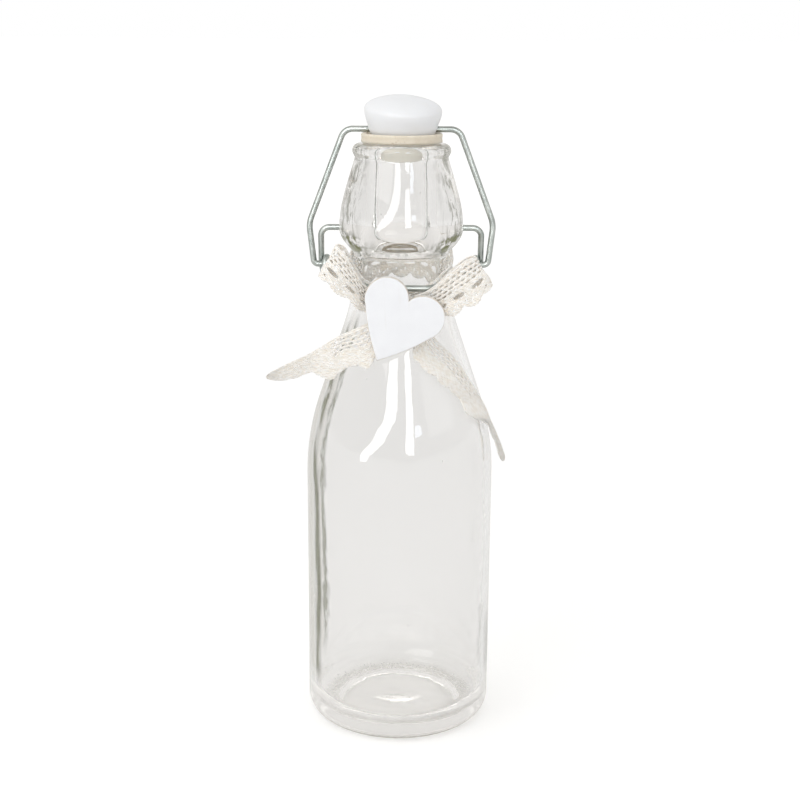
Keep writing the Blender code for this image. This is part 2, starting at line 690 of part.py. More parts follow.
def glass_bottle(parent):
    outside = outer_profile()
    outside.append(Vector((BODY_RADIUS, BASE_CORNER)))
    outside += curve(outside[-1], -pi / 2, (BEARING_OUTER, 0), pi, 5, ROUND_PULL_SHARE)
    outside.append(Vector((BEARING_INNER, 0)))
    outside += curve(outside[-1], PUNT_SLOPE, (PUNT_SHOULDER, PUNT_RISE / 2), PUNT_SLOPE, 2)
    outside += curve(outside[-1], PUNT_TOP_SLOPE, (0, PUNT_RISE), pi, 3)
    obj = lathe("glass_bottle", inner_profile() + outside, parent, TURNS)
    depth = DIMPLE_DEPTH + CUT_OVERRUN
    wide = HOLE_RADIUS + DIMPLE_FLARE * depth / DIMPLE_DEPTH
    reach = BULB_RADIUS - DIMPLE_DEPTH + depth / 2
    for side, label in ((1, "right"), (-1, "left")):
        centre = (side * reach, 0, PIVOT)
        drill(obj, "dimple_" + label, HOLE_RADIUS, wide, depth, centre, Vector((side, 0, 0)))


KNOT_FRONT = glass_radius(KNOT) + 2 * GAP + LACE_THICKNESS + 2 * KNOT_HALF_DEPTH
HEART_CREST = (HEART_LOBE_RISE + HEART_LOBE_RADIUS) * HEART_CREST_SHARE
HEART_TOP_DROP = PIVOT - (KNOT - HEART_TIP_DROP + HEART_CREST)
HEART_CLEAR = (BAR_SWEEP**2 - HEART_TOP_DROP**2) ** 0.5 + GAP
TAIL_FRONT = -glass_point(LEFT_TAIL_HEADING_SHARES[1]).y + LACE_THICKNESS / 2
HEART_BACK = max(HEART_CLEAR, KNOT_FRONT + 3 * GAP, TAIL_FRONT + GAP)


def main():
    wipe()
    bottle = axis_empty("bottle_axis", None, (AXIS_OFFSET, 0, 0))
    lever_axis = axis_empty("lever_axis", bottle, (0, 0, PIVOT))
    yoke_axis = axis_empty("yoke_axis", lever_axis, (0, 0, EYE - PIVOT))
    stopper_axis = axis_empty("stopper_axis", yoke_axis, (0, 0, CROSS_WIRE - EYE))

    glass_bottle(bottle)
    head = lathe("stopper_head", head_profile(), stopper_axis, FINE_TURNS)
    hole_length = 2 * (HEAD_RADIUS + CUT_OVERRUN)
    drill(head, "cross_hole", HOLE_RADIUS, HOLE_RADIUS, hole_length, (0, 0, 0), Vector((1, 0, 0)))
    lathe("sealing_washer", washer_profile(), stopper_axis, FINE_TURNS)
    wire("lever_wire", mirrored(lever_route()), lever_axis)
    wire("yoke_wire", mirrored(yoke_route()), yoke_axis)

    neck_band(bottle)
    knot(bottle)
    strip("bow_loop_left", LEFT_LOOP_HEADING_SHARES, LEFT_LOOP_SCALLOP_SHARES, bow_point,
          LOOP_COLUMNS, bottle)
    strip("bow_loop_right", RIGHT_LOOP_HEADING_SHARES, RIGHT_LOOP_SCALLOP_SHARES, bow_point,
          LOOP_COLUMNS, bottle)
    strip("ribbon_tail_left", LEFT_TAIL_HEADING_SHARES, LEFT_TAIL_SCALLOP_SHARES, glass_point,
          LEFT_TAIL_COLUMNS, bottle)
    strip("ribbon_tail_right", RIGHT_TAIL_HEADING_SHARES, RIGHT_TAIL_SCALLOP_SHARES, glass_point,
          RIGHT_TAIL_COLUMNS, bottle)
    heart(bottle)
    glue(bottle)


main()
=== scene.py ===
from contextlib import contextmanager
from math import acos, asin, atan2, ceil, cos, hypot, pi, radians, sin, tan, tau

import bmesh
import bpy
import numpy as np
from mathutils import Matrix, Vector


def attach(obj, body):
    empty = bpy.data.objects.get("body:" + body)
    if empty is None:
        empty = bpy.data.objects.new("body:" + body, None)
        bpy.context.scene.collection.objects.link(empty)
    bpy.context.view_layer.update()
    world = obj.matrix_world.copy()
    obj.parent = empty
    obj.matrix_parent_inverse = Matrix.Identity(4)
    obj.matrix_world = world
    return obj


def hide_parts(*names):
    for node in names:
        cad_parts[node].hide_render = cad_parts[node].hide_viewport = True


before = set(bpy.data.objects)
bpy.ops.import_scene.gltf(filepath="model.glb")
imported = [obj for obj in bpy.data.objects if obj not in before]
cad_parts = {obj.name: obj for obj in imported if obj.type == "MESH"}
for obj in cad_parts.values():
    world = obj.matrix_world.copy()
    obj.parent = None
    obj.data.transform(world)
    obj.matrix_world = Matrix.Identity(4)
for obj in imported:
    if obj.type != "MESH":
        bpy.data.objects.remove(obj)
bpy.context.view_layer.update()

# The part's own sizes, in metres
AXIS_OFFSET = 0.0034
BODY_RADIUS = 0.0300
BODY_HEIGHT = 0.0830
WALL = 0.0023
BASE_CORNER = 0.0062
BEARING_OUTER = 0.0240
BEARING_INNER = 0.0214
PUNT_RISE = 0.0026
PUNT_SHOULDER = 0.0188
FLOOR_RISE = 0.0062
FLOOR_RING = 0.0195
FLOOR_LOW = 0.0042
FLOOR_FILLET = 0.0085
SHOULDER_SLOPE = radians(71.1)
SLOPE_LOW_RADIUS = 0.02567
SLOPE_HIGH_RADIUS = 0.0182
NECK_RADIUS = 0.0149
NECK_WALL = 0.0026
BULB_UNDER_RADIUS = 0.0163
BULB_RADIUS = 0.0194
BEAD_NECK_RADIUS = 0.0145
BEAD_RADIUS = 0.0153
LIP_ROUND = 0.0021
BORE_RADIUS = 0.0075
BORE_DEPTH = 0.0243
BORE_FLARE = 0.1545
MOUTH_ROUND = 0.0010
SLOPE_LOW = 0.1090
SLOPE_HIGH = 0.1310
NECK_LOW = 0.1490
NECK_HIGH = 0.1535
BULB_UNDER = 0.1563
PIVOT = 0.1623
BEAD_LOW = 0.1841
BEAD_MIDDLE = 0.1862
LIP_TOP = 0.1883
WIRE_RADIUS = 0.00095
WIRE_SPACING = 0.0015
GAP = 0.0003
DIMPLE_DEPTH = 0.0034
DIMPLE_FLARE = 0.0010
PIN_ENGAGEMENT = 0.0029
LEVER_ARM = 0.0251
LEVER_CRANK = 0.0116
LEVER_BEND = 0.0028
EYE_PITCH = 0.00225
BAR_REACH = 0.0180
BAR_DROP = 0.0045
BAR_HALF = 0.0095
BAR_BEND = 0.0040
EYE = PIVOT - LEVER_CRANK
EYE_RADIUS = 2 * WIRE_RADIUS + GAP
BAR = EYE - BAR_DROP
YOKE_BOTTOM_HALF = 0.0273
YOKE_WIDEST_HALF = 0.0288
YOKE_WIDEST_RISE = 0.0128
YOKE_SHOULDER_HALF = 0.0177
YOKE_BENDS = (0.0038, 0.0090, 0.0015)
YOKE_PIN_OVERRUN = 0.0008
CROSS_WIRE = 0.1926
HEAD_RADIUS = 0.0120
HEAD_WAIST_RADIUS = 0.0106
HEAD_WIDEST_RISE = 0.0060
HEAD_DOME_RISE = 0.0041
HEAD_SIDE_RISE = 0.0006
HEAD_BOTTOM_RADIUS = 0.0080
HOLE_RADIUS = WIRE_RADIUS + GAP
HEAD_WEB = 0.0011
HEAD_BOTTOM = CROSS_WIRE - HOLE_RADIUS - HEAD_WEB
HEAD_TILT = (radians(9.0), radians(2.4))
HEAD_TILT_FROM = 0.0015
DISH_TILT_SHARE = 0.6
WASHER_RADIUS = 0.0126
WASHER_LOW = LIP_TOP + GAP
WASHER_THICKNESS = 0.0028
WASHER_TOP = WASHER_LOW + WASHER_THICKNESS
WASHER_ROUND = 0.0005
PLUG_RADIUS = 0.0069
PLUG_TIP_RADIUS = 0.0054
PLUG_DEPTH = 0.0061
PLUG_ROUND = 0.0026
STEM_RADIUS = 0.0029
STEM_BARB_RADIUS = 0.0037
STEM_TIP_RADIUS = 0.0022
STEM_LENGTH = 0.0062
LACE_WIDTH = 0.0150
LACE_THICKNESS = 0.0009
BAND_FRONT_HALF = 0.0040
BAND_BACK_RISE = 0.0050
BAND_BACK_WIDTH = 0.0146
KNOT_HALF_LENGTH = 0.0033
KNOT_HALF_DEPTH = 0.0021
KNOT_HALF_HEIGHT = 0.0042
KNOT_OFFSET = 0.0005
KNOT = BAR - WIRE_RADIUS - 3 * GAP - KNOT_HALF_HEIGHT
HEART_THICKNESS = 0.0025
HEART_ROUND_FRONT = 0.00040
HEART_ROUND_BACK = 0.00025
PLY_PITCH = 0.00165
EDGE_LAYERS = (2, 8)
HEART_LOBE_RADIUS = 0.00665
HEART_LOBE_HALF = 0.00614
HEART_LOBE_RISE = 0.0181
HEART_TILT = radians(27.6)
HEART_TIP_OFFSET = -0.0071
HEART_TIP_DROP = 0.0150
HEART_SWELL_SHARE = 0.035
HEART_BACK = 0.0224
GLUE_RADIUS = 0.0026

# Bow stations: across, up and forward from the knot, in shares of the lace's width
LEFT_LOOP_HEADING = (
    (-0.245, 0.27, -0.02), (-0.50, 0.33, 0.03), (-0.70, 0.44, 0.06), (-0.92, 0.84, 0.11),
    (-1.14, 1.27, 0.15), (-1.30, 1.33, 0.28), (-1.12, 1.15, 0.41), (-0.93, 0.82, 0.31),
    (-0.70, 0.46, 0.14), (-0.245, 0.27, 0.08),
)
LEFT_LOOP_SCALLOP = (
    (-0.245, 0.00, -0.02), (-0.50, -0.04, 0.03), (-0.74, 0.02, 0.06), (-1.04, 0.28, 0.08),
    (-1.44, 0.64, 0.11), (-1.66, 0.72, 0.26), (-1.42, 0.48, 0.40), (-1.08, 0.22, 0.31),
    (-0.74, -0.06, 0.14), (-0.245, 0.00, 0.08),
)
RIGHT_LOOP_HEADING = (
    (0.245, 0.27, -0.02), (0.55, 0.38, 0.03), (0.90, 0.76, 0.08), (1.25, 1.07, 0.12),
    (1.42, 1.12, 0.28), (1.19, 1.02, 0.42), (0.87, 0.73, 0.31), (0.52, 0.42, 0.13),
    (0.245, 0.27, 0.08),
)
RIGHT_LOOP_SCALLOP = (
    (0.245, 0.00, -0.02), (0.58, -0.10, 0.03), (1.05, 0.10, 0.08), (1.58, 0.40, 0.12),
    (1.80, 0.56, 0.26), (1.55, 0.26, 0.41), (1.22, 0.06, 0.31), (0.86, -0.14, 0.14),
    (0.245, 0.00, 0.08),
)

# Tail stations: azimuth from the front in degrees, then up and off the glass in shares of the width
LEFT_TAIL_HEADING = (
    (-9.0, -0.05, 0.295), (-26.0, -0.28, 0.463), (-41.2, -0.53, 0.67), (-47.0, -0.68, 0.767),
    (-54.6, -0.94, 0.973), (-59.7, -1.13, 1.247), (-64.3, -1.38, 1.593),
)
LEFT_TAIL_SCALLOP = (
    (-9.0, -0.24, 0.243), (-22.7, -1.14, 0.20), (-36.3, -1.16, 0.383), (-44.6, -1.45, 0.45),
    (-53.3, -1.33, 0.84), (-59.3, -1.48, 1.093), (-64.0, -1.50, 1.527),
)
RIGHT_TAIL_HEADING = (
    (11.7, -0.05, 0.307), (35.1, -0.72, 0.10), (50.1, -1.09, 0.09), (63.5, -1.65, 0.08),
    (75.5, -2.24, 0.09), (79.1, -2.49, 0.095), (80.5, -2.72, 0.13), (84.8, -3.20, 0.233),
    (85.0, -3.51, 0.31),
)
RIGHT_TAIL_SCALLOP = (
    (11.7, -0.24, 0.253), (11.2, -0.98, 0.127), (23.2, -1.31, 0.11), (34.9, -1.62, 0.10),
    (45.5, -1.93, 0.09), (50.0, -2.25, 0.085), (71.4, -2.60, 0.085), (79.5, -3.05, 0.12),
    (83.0, -3.54, 0.21),
)

# The lace's pattern, in metres
GRID = 0.00023
SCALLOP_PITCH = 0.0070
SCALLOP_LOW = 0.0139
SCALLOP_DEEP = 0.0017
SLOT_PITCH = 0.0023
SLOT_ROWS = (0.0021, 0.0036, 0.0051, 0.0066)
SLOT_SIZE = (0.00072, 0.00034)
EYELET_AT = 0.0096
EYELET_SIZE = (0.0021, 0.00085)
PIP_AT = 0.0126
PIP_SIZE = 0.00032
LACE_HALF = 0.00032
LACE_ROUND = 0.00042

# Light levels: the studio's, what glass adds under the bottle, and light trapped in the glass
FILL_LEVEL = 0.80
UNDER_LIFT = 0.14
TRAPPED_LEVEL = 0.42

# Where the studio's windows and the camera stand
WINDOW_AWAY = 1.5
WINDOW_HEIGHT = 0.11
CAMERA_AT = (AXIS_OFFSET, -0.4429, 0.2207)
CAMERA_PITCH = radians(75.55)
CAMERA_ROLL = radians(0.4)
LENS = 63.81

# Directions of travel in a profile, and how far a curve's handles reach as shares of its length
UP = pi / 2
DOWN = -pi / 2
SOFT_PULL = 0.33
PLAIN_PULL = 0.36
ROUND_PULL = 0.39

# Millimetres in a metre
MM = 1000


# ---------- helpers ----------

class Profile:
    """A line of (radius, height) points, drawn one run at a time."""

    def __init__(self, points):
        self.points = [Vector(p) for p in points]

    def curve(self, start_angle, end, end_angle, steps, pull_share=PLAIN_PULL):
        """Add a cubic to end; the angles are its directions of travel."""
        a, d = self.points[-1], Vector(end)
        pull = (d - a).length * pull_share
        b = a + pull * Vector((cos(start_angle), sin(start_angle)))
        c = d - pull * Vector((cos(end_angle), sin(end_angle)))
        for i in range(1, steps + 1):
            t = i / steps
            s = 1 - t
            self.points.append(a * s**3 + b * 3 * s * s * t + c * 3 * s * t * t + d * t**3)

    def line(self, end, steps):
        a, b = self.points[-1], Vector(end)
        self.points += [a + (b - a) * (i / steps) for i in range(1, steps + 1)]


@contextmanager
def editing(mesh):
    """The mesh as a bmesh, written back at the end."""
    work = bmesh.new()
    work.from_mesh(mesh)
    yield work
    work.to_mesh(mesh)
    work.free()


def new_object(name, data):
    obj = bpy.data.objects.new(name, data)
    bpy.context.scene.collection.objects.link(obj)
    return obj


def new_mesh(name, points, faces):
    mesh = bpy.data.meshes.new(name)
    mesh.from_pydata([tuple(p) for p in points], [], faces)
    return mesh


def new_solid(name, points, faces, uvs=None):
    """A smooth closed form with its faces turned outward; uvs are one pair for each face corner."""
    mesh = new_mesh(name, points, faces)
    if uvs:
        layer = mesh.uv_layers.new(name="wire")
        layer.data.foreach_set("uv", np.array(uvs, dtype=np.float32).ravel())
    with editing(mesh) as work:
        bmesh.ops.recalc_face_normals(work, faces=work.faces)
    mesh.shade_smooth()
    return new_object(name, mesh)


def ring_faces(rings, sides, capped=True):
    """The faces of rings of points that follow each other, with one over each end."""
    faces = []
    for i in range(0, (rings - 1) * sides, sides):
        for j in range(sides):
            k = (j + 1) % sides
            faces.append((i + j, i + k, i + sides + k, i + sides + j))
    if capped:
        faces.append(tuple(range(sides)))
        faces.append(tuple(range((rings - 1) * sides, rings * sides)))
    return faces


def map_lace(mesh, u, v):
    """The lace's UV map, from one u and v for each point."""
    corners = np.empty(len(mesh.loops), dtype=np.int32)
    mesh.loops.foreach_get("vertex_index", corners)
    layer = mesh.uv_layers.new(name="lace")
    pairs = np.stack([u[corners], v[corners]], axis=1)
    layer.data.foreach_set("uv", pairs.astype(np.float32).ravel())


def dress(obj, material, body, slot, *nodes):
    obj.data.materials.append(material)
    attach(obj, body)
    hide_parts(*nodes)
    return obj


def turned(name, profile, segments, warp=None):
    """A closed turned form; its profile of (radius, height) starts and ends on the axis."""
    profile = np.array([(p[0], p[1]) for p in profile])
    angles = np.arange(segments) * tau / segments
    radius = np.repeat(profile[1:-1, :1], segments, axis=1)
    height = np.repeat(profile[1:-1, 1:], segments, axis=1)
    if warp is not None:
        radius = radius + warp(radius, height, angles)
    rings = len(radius)
    points = np.stack([
        AXIS_OFFSET + radius * np.cos(angles), radius * np.sin(angles), height,
    ], axis=-1).reshape(-1, 3)
    points = np.vstack([
        points, (AXIS_OFFSET, 0, profile[0, 1]), (AXIS_OFFSET, 0, profile[-1, 1]),
    ])
    first, last = len(points) - 2, len(points) - 1
    faces = ring_faces(rings, segments, capped=False)
    for j in range(segments):
        k = (j + 1) % segments
        faces.append((first, k, j))
        faces.append((last, (rings - 1) * segments + j, (rings - 1) * segments + k))
    return new_solid(name, points, faces)


def drill(obj, low_radius, high_radius, depth, centre, along):
    """Cut a round hole, and keep the result as the object's own mesh."""
    mesh = bpy.data.meshes.new("cutter")
    turn = Vector((0, 0, 1)).rotation_difference(Vector(along)).to_matrix().to_4x4()
    with editing(mesh) as work:
        bmesh.ops.create_cone(
            work, cap_ends=True, segments=48, radius1=low_radius, radius2=high_radius,
            depth=depth, matrix=Matrix.Translation(centre) @ turn,
        )
    cutter = new_object("cutter", mesh)
    cut = obj.modifiers.new("cut", "BOOLEAN")
    cut.operation = "DIFFERENCE"
    cut.solver = "EXACT"
    cut.object = cutter
    bpy.context.view_layer.update()
    done = obj.evaluated_get(bpy.context.evaluated_depsgraph_get())
    whole = obj.data
    drilled = bpy.data.meshes.new_from_object(done)
    obj.modifiers.clear()
    obj.data = drilled
    bpy.data.meshes.remove(whole)
    bpy.data.objects.remove(cutter, do_unlink=True)


# ---------- materials ----------

class Nodes:
    """A node tree, filled one call at a time; values are sockets, numbers or tuples."""

    def __init__(self, tree):
        self.tree = tree

    def put(self, socket, value):
        if isinstance(value, bpy.types.NodeSocket):
            self.tree.links.new(value, socket)
        elif isinstance(value, tuple) and socket.type == "RGBA":
            socket.default_value = (*value, 1)
        else:
            socket.default_value = value

    def add(self, kind, *values, output=0, props=None, **named):
        node = self.tree.nodes.new("ShaderNode" + kind)
        for key, value in (props or {}).items():
            setattr(node, key, value)
        for socket, value in zip(node.inputs, values):
            self.put(socket, value)
        for key, value in named.items():
            self.put(node.inputs[key.replace("_", " ").title()], value)
        return node.outputs[output]

    def rays(self):
        return self.tree.nodes.new("ShaderNodeLightPath").outputs

    def coords(self, source):
        return self.tree.nodes.new("ShaderNodeTexCoord").outputs[source]

    def place(self, scale=(1, 1, 1), source="Object"):
        return self.add("Mapping", vector=self.coords(source), scale=scale)

    def axes(self, vector):
        node = self.tree.nodes.new("ShaderNodeSeparateXYZ")
        self.put(node.inputs[0], vector)
        return node.outputs

    def noise(self, at, scale, detail=3.0, roughness=0.5, distortion=0.0):
        return self.add("TexNoise", vector=at, scale=scale, detail=detail,
                        roughness=roughness, distortion=distortion)

    def remap(self, value, low, high, to_low=0.0, to_high=1.0):
        return self.add("MapRange", value, low, high, to_low, to_high)

    def math(self, operation, *values):
        return self.add("Math", *values, props={"operation": operation})

    def vector(self, operation, *values):
        """A vector operation whose result is a number."""
        return self.add("VectorMath", *values, output=1, props={"operation": operation})

    def product(self, first, *others):
        for other in others:
            first = self.math("MULTIPLY", first, other)
        return first

    def mix(self, share, a, b):
        node = self.tree.nodes.new("ShaderNodeMix")
        node.data_type = "RGBA"
        for place, value in ((0, share), (6, a), (7, b)):
            self.put(node.inputs[place], value)
        return node.outputs[2]

    def bumps(self, *layers):
        """Bumps on top of each other, each as its height, strength and distance."""
        below = {}
        for height, strength, distance in layers:
            top = self.add("Bump", height=height, strength=strength, distance=distance, **below)
            below = {"normal": top}
        return top


class Paint(Nodes):
    """A material and its nodes."""

    names = {"color": "Base Color", "transmission": "Transmission Weight", "ior": "IOR",
             "subsurface": "Subsurface Weight", "sheen": "Sheen Weight",
             "specular": "Specular IOR Level"}

    def __init__(self, name):
        self.material = bpy.data.materials.new(name)
        self.material.use_nodes = True
        super().__init__(self.material.node_tree)
        self.shader = self.tree.nodes["Principled BSDF"]
        self.output = self.tree.nodes["Material Output"].inputs

    def set(self, **values):
        self.shader.inputs["Subsurface Radius"].default_value = (1.0, 0.9, 0.8)
        for key, value in values.items():
            name = self.names.get(key, key.replace("_", " ").title())
            self.put(self.shader.inputs[name], value)
        return self.material


def clear_glass():
    """Clear glass: lamps reach through it, and light that it traps comes back at the studio's level.

    Its darker colours are painted reflections of the room and painted shade, at places and at grazing
    angles.
    """
    p = Paint("clear_glass")
    at = p.place()
    x, y, z = p.axes(at)
    across = p.math("SUBTRACT", x, AXIS_OFFSET)
    radius = p.math("SQRT", p.math("ADD", p.product(across, across), p.product(y, y)))
    outside = p.remap(radius, 0.0120, 0.0135)
    finish = p.remap(z, 0.1500, 0.1560)
    facing = p.add("LayerWeight", output=1, blend=0.5)
    wander = p.noise(p.place((1, 1, 0.2)), 150, 3.0)
    edge = p.math("ADD", facing, p.remap(wander, 0.3, 0.7, -0.035, 0.035))
    left = p.product(p.remap(across, -0.010, -0.015), p.remap(z, 0.012, 0.020),
                     p.remap(z, 0.136, 0.130))
    reflection_streaks = p.noise(p.place((1, 1, 0.22)), 620, 3.0, 0.6, 0.8)
    broken = p.noise(p.place((1, 1, 0.12)), 420, 3.0)
    # painted shade and painted reflections of the room, each as a colour and the masks where it shows
    painted_shade_and_reflections = (
        # painted shade along every outline, at grazing angles
        ((0.66, 0.66, 0.61), (p.remap(facing, 0.80, 1.0),)),
        # painted reflections: upright dark bands in the bulb and the neck's thick glass
        ((0.09, 0.095, 0.05), (p.remap(reflection_streaks, 0.49, 0.58), p.remap(facing, 0.22, 0.44),
                               outside, finish, 0.8)),
        # painted reflections: dark blobs in the bulb's lower corners
        ((0.06, 0.065, 0.02), (p.remap(z, 0.1632, 0.1608), p.remap(z, 0.1542, 0.1560),
                               p.remap(p.math("ABSOLUTE", across), 0.0098, 0.0125),
                               p.remap(p.noise(at, 330, 2.0), 0.45, 0.53),
                               p.remap(facing, 0.28, 0.40), outside)),
        # painted reflection: dark lines on the lip bead
        ((0.16, 0.16, 0.11), (p.remap(z, 0.1828, 0.1840), p.remap(facing, 0.50, 0.85), outside)),
        # painted shade: dark lines along the bore's sides
        ((0.24, 0.23, 0.22), (p.remap(radius, 0.0084, 0.0079), finish,
                              p.remap(facing, 0.70, 0.95))),
        # painted shadow along the heel's lowest edge
        ((0.14, 0.125, 0.085), (p.remap(z, 0.0030, 0.0012), p.remap(facing, 0.25, 0.60))),
        # painted reflections: a greyish band along the left edge, and a dark vein beside it
        ((0.60, 0.58, 0.52), (left, p.remap(edge, 0.60, 0.70))),
        ((0.09, 0.095, 0.055), (p.remap(edge, 0.52, 0.57), p.remap(edge, 0.67, 0.62),
                                p.remap(broken, 0.36, 0.52, 0.45, 1.0), left)),
        # painted reflection: a dark band on the body's right edge, near the table
        ((0.30, 0.30, 0.28), (p.remap(z, 0.040, 0.032), p.remap(z, 0.014, 0.020),
                              p.remap(across, 0.020, 0.026), p.remap(edge, 0.72, 0.85))),
    )
    colour = (0.985, 0.982, 0.978)
    for painted_colour, masks in painted_shade_and_reflections:
        colour = p.mix(p.product(*masks), colour, painted_colour)

    ring = p.product(p.remap(radius, 0.0206, 0.0216), p.remap(z, 0.0024, 0.0010))
    spots = p.add("TexVoronoi", props={"feature": "SMOOTH_F1"}, vector=at, scale=980.0)
    stipple = p.product(p.remap(spots, 0.10, 0.45, 1.0, 0.0), ring)
    rays = p.rays()
    p.set(
        color=colour,
        roughness=p.remap(p.noise(at, 140, 4.0), 0.45, 0.75, 0.0, 0.03),
        transmission=1.0,
        ior=1.5,
        normal=p.bumps((p.noise(at, 75, 2.0), 0.42, 0.00045),
                       (p.noise(at, 400, 3.0), 0.12, 0.00011), (stipple, 0.5, 0.0004)),
        emission_color=(1.0, 0.985, 0.96),
        emission_strength=p.remap(rays["Glossy Depth"], 3.0, 4.0, 0.0, TRAPPED_LEVEL),
    )
    p.material.cycles.emission_sampling = "NONE"
    p.put(p.output["Volume"], p.add("VolumeAbsorption", (0.82, 0.81, 0.79), 14.0))
    passing = p.add("BsdfTransparent", (0.92, 0.92, 0.91))
    surface = p.add("MixShader", rays["Is Shadow Ray"], p.shader.outputs[0], passing)
    p.put(p.output["Surface"], surface)
    return p.material


def zinc_wire():
    p = Paint("zinc_wire")
    at = p.place()
    streak = p.noise(p.place((0.16, 2.2, 1), "UV"), 1.0, 4.0, 0.6)
    patch = p.noise(at, 260, 4.0, 0.6)
    tone = p.remap(p.math("ADD", streak, patch), 0.75, 1.3)
    return p.set(
        color=p.mix(tone, (0.35, 0.385, 0.365), (0.57, 0.59, 0.56)),
        roughness=p.remap(patch, 0.3, 0.7, 0.26, 0.46),
        metallic=1.0,
        normal=p.bumps((streak, 0.25, 0.00006), (p.noise(at, 2400, 3.0), 0.18, 0.00004)),
    )


def white_plastic():
    p = Paint("white_stopper")
    at = p.place()
    cloud = p.noise(at, 95, 4.0, 0.55)
    return p.set(
        color=p.mix(p.remap(cloud, 0.35, 0.7), (0.785, 0.787, 0.792), (0.82, 0.827, 0.84)),
        roughness=p.remap(cloud, 0.3, 0.7, 0.30, 0.42),
        subsurface=0.18,
        subsurface_scale=0.002,
        ior=1.49,
        normal=p.bumps((p.noise(at, 1700, 3.0), 0.12, 0.00005),
                       (p.noise(at, 230, 2.0), 0.2, 0.00012)),
    )


def cream_rubber():
    p = Paint("cream_rubber")
    at = p.place()
    cloud = p.noise(at, 210, 4.0, 0.6)
    speck = p.remap(p.noise(at, 1500, 2.0), 0.66, 0.74)
    # painted light: the plug's part inside the mouth is lighter, making up for the shade it sits in
    # within the glass neck
    plug_painted_light = p.remap(p.axes(at)[2], WASHER_LOW, WASHER_LOW - 0.0006)
    colour = p.mix(p.remap(cloud, 0.3, 0.7), (0.68, 0.60, 0.48), (0.77, 0.70, 0.58))
    colour = p.mix(speck, colour, (0.55, 0.46, 0.34))
    colour = p.mix(plug_painted_light, colour, (0.93, 0.89, 0.79))
    return p.set(
        color=colour,
        roughness=p.remap(cloud, 0.3, 0.7, 0.5, 0.66),
        subsurface=0.35,
        subsurface_scale=0.003,
        normal=p.bumps((p.noise(at, 1900, 4.0), 0.25, 0.00008)),
    )


def ivory_lace():
    """Crochet cotton; the lace's own coordinates are its UV map, in millimetres along and across."""
    p = Paint("ivory_lace")
    flat = p.place((1, 1, 1), "UV")

    def wave(direction, scale, distortion, detail_scale):
        return p.add("TexWave", output=1, props={"wave_type": "BANDS", "bands_direction": direction},
                     vector=flat, scale=scale, distortion=distortion, detail=2.0,
                     detail_scale=detail_scale)

    cords = wave("Y", 0.42, 1.6, 1.2)
    twists = wave("DIAGONAL", 0.36, 2.4, 1.6)
    stitch = p.math("ADD", p.product(cords, 0.55), p.product(twists, 0.45))
    knots = p.add("TexVoronoi", props={"feature": "SMOOTH_F1"}, vector=flat, scale=0.85)
    fuzz = p.noise(p.place(), 5200, 3.0, 0.7)
    wander = p.remap(p.noise(flat, 0.9, 2.0), 0.3, 0.72)
    # painted shade: darker in the stitches' low crevices and between the knots
    stitch_crevice_shade = p.product(p.remap(stitch, 0.05, 0.5, 1.0, 0.0), 0.42)
    knot_gap_shade = p.product(p.remap(knots, 0.34, 0.62), 0.3)
    colour = p.mix(wander, (0.94, 0.895, 0.835), (0.965, 0.94, 0.905))
    colour = p.mix(stitch_crevice_shade, colour, (0.78, 0.69, 0.57))
    colour = p.mix(knot_gap_shade, colour, (0.74, 0.65, 0.53))
    return p.set(
        color=colour,
        roughness=p.remap(fuzz, 0.3, 0.7, 0.82, 0.98),
        subsurface=0.35,
        subsurface_scale=0.0012,
        sheen=0.25,
        sheen_roughness=0.5,
        normal=p.bumps((stitch, 0.85, 0.00022), (p.remap(knots, 0.34, 0.62, 1.0, 0.0), 0.5, 0.00022),
                       (fuzz, 0.35, 0.00006)),
    )


def white_paint():
    p = Paint("white_painted_wood")
    at = p.place()
    tilt = p.add("Mapping", vector=at, rotation=(0, HEART_TILT, 0), scale=(1, 1, 0.16))
    brush = p.noise(tilt, 1300, 4.0, 0.6)
    grain = p.noise(tilt, 420, 3.0, 0.6, 0.6)
    cloud = p.remap(p.noise(at, 160, 3.0), 0.35, 0.7)
    colour = p.mix(cloud, (0.805, 0.81, 0.83), (0.83, 0.838, 0.855))
    colour = p.mix(p.remap(grain, 0.62, 0.72, 0.0, 0.25), colour, (0.76, 0.75, 0.74))
    return p.set(
        color=colour,
        roughness=p.remap(brush, 0.3, 0.7, 0.46, 0.64),
        normal=p.bumps((brush, 0.22, 0.00006), (grain, 0.25, 0.00010)),
    )


def plywood_edge():
    p = Paint("plywood_edge")
    at = p.place()
    plies = p.math("SINE", p.product(p.axes(at)[1], tau / PLY_PITCH))
    fibres = p.noise(p.place((1, 0.2, 1)), 2600, 4.0, 0.65)
    scorch = p.noise(at, 380, 3.0)
    colour = p.mix(p.remap(plies, -0.4, 0.4), (0.60, 0.51, 0.40), (0.74, 0.66, 0.54))
    colour = p.mix(p.remap(fibres, 0.35, 0.65, 0.0, 0.5), colour, (0.48, 0.40, 0.31))
    colour = p.mix(p.remap(scorch, 0.42, 0.62, 0.25, 0.85), colour, (0.80, 0.79, 0.77))
    return p.set(
        color=colour,
        roughness=p.remap(fibres, 0.3, 0.7, 0.6, 0.85),
        normal=p.bumps((fibres, 0.5, 0.00008)),
    )


def clear_glue():
    p = Paint("clear_glue")
    at = p.place()
    cloud = p.noise(at, 600, 3.0)
    return p.set(
        color=p.mix(cloud, (0.82, 0.79, 0.70), (0.90, 0.89, 0.84)),
        roughness=p.remap(cloud, 0.3, 0.7, 0.12, 0.25),
        transmission=0.6,
        ior=1.48,
        normal=p.bumps((p.noise(at, 900, 2.0), 0.3, 0.0001)),
    )


# ---------- glass bottle ----------

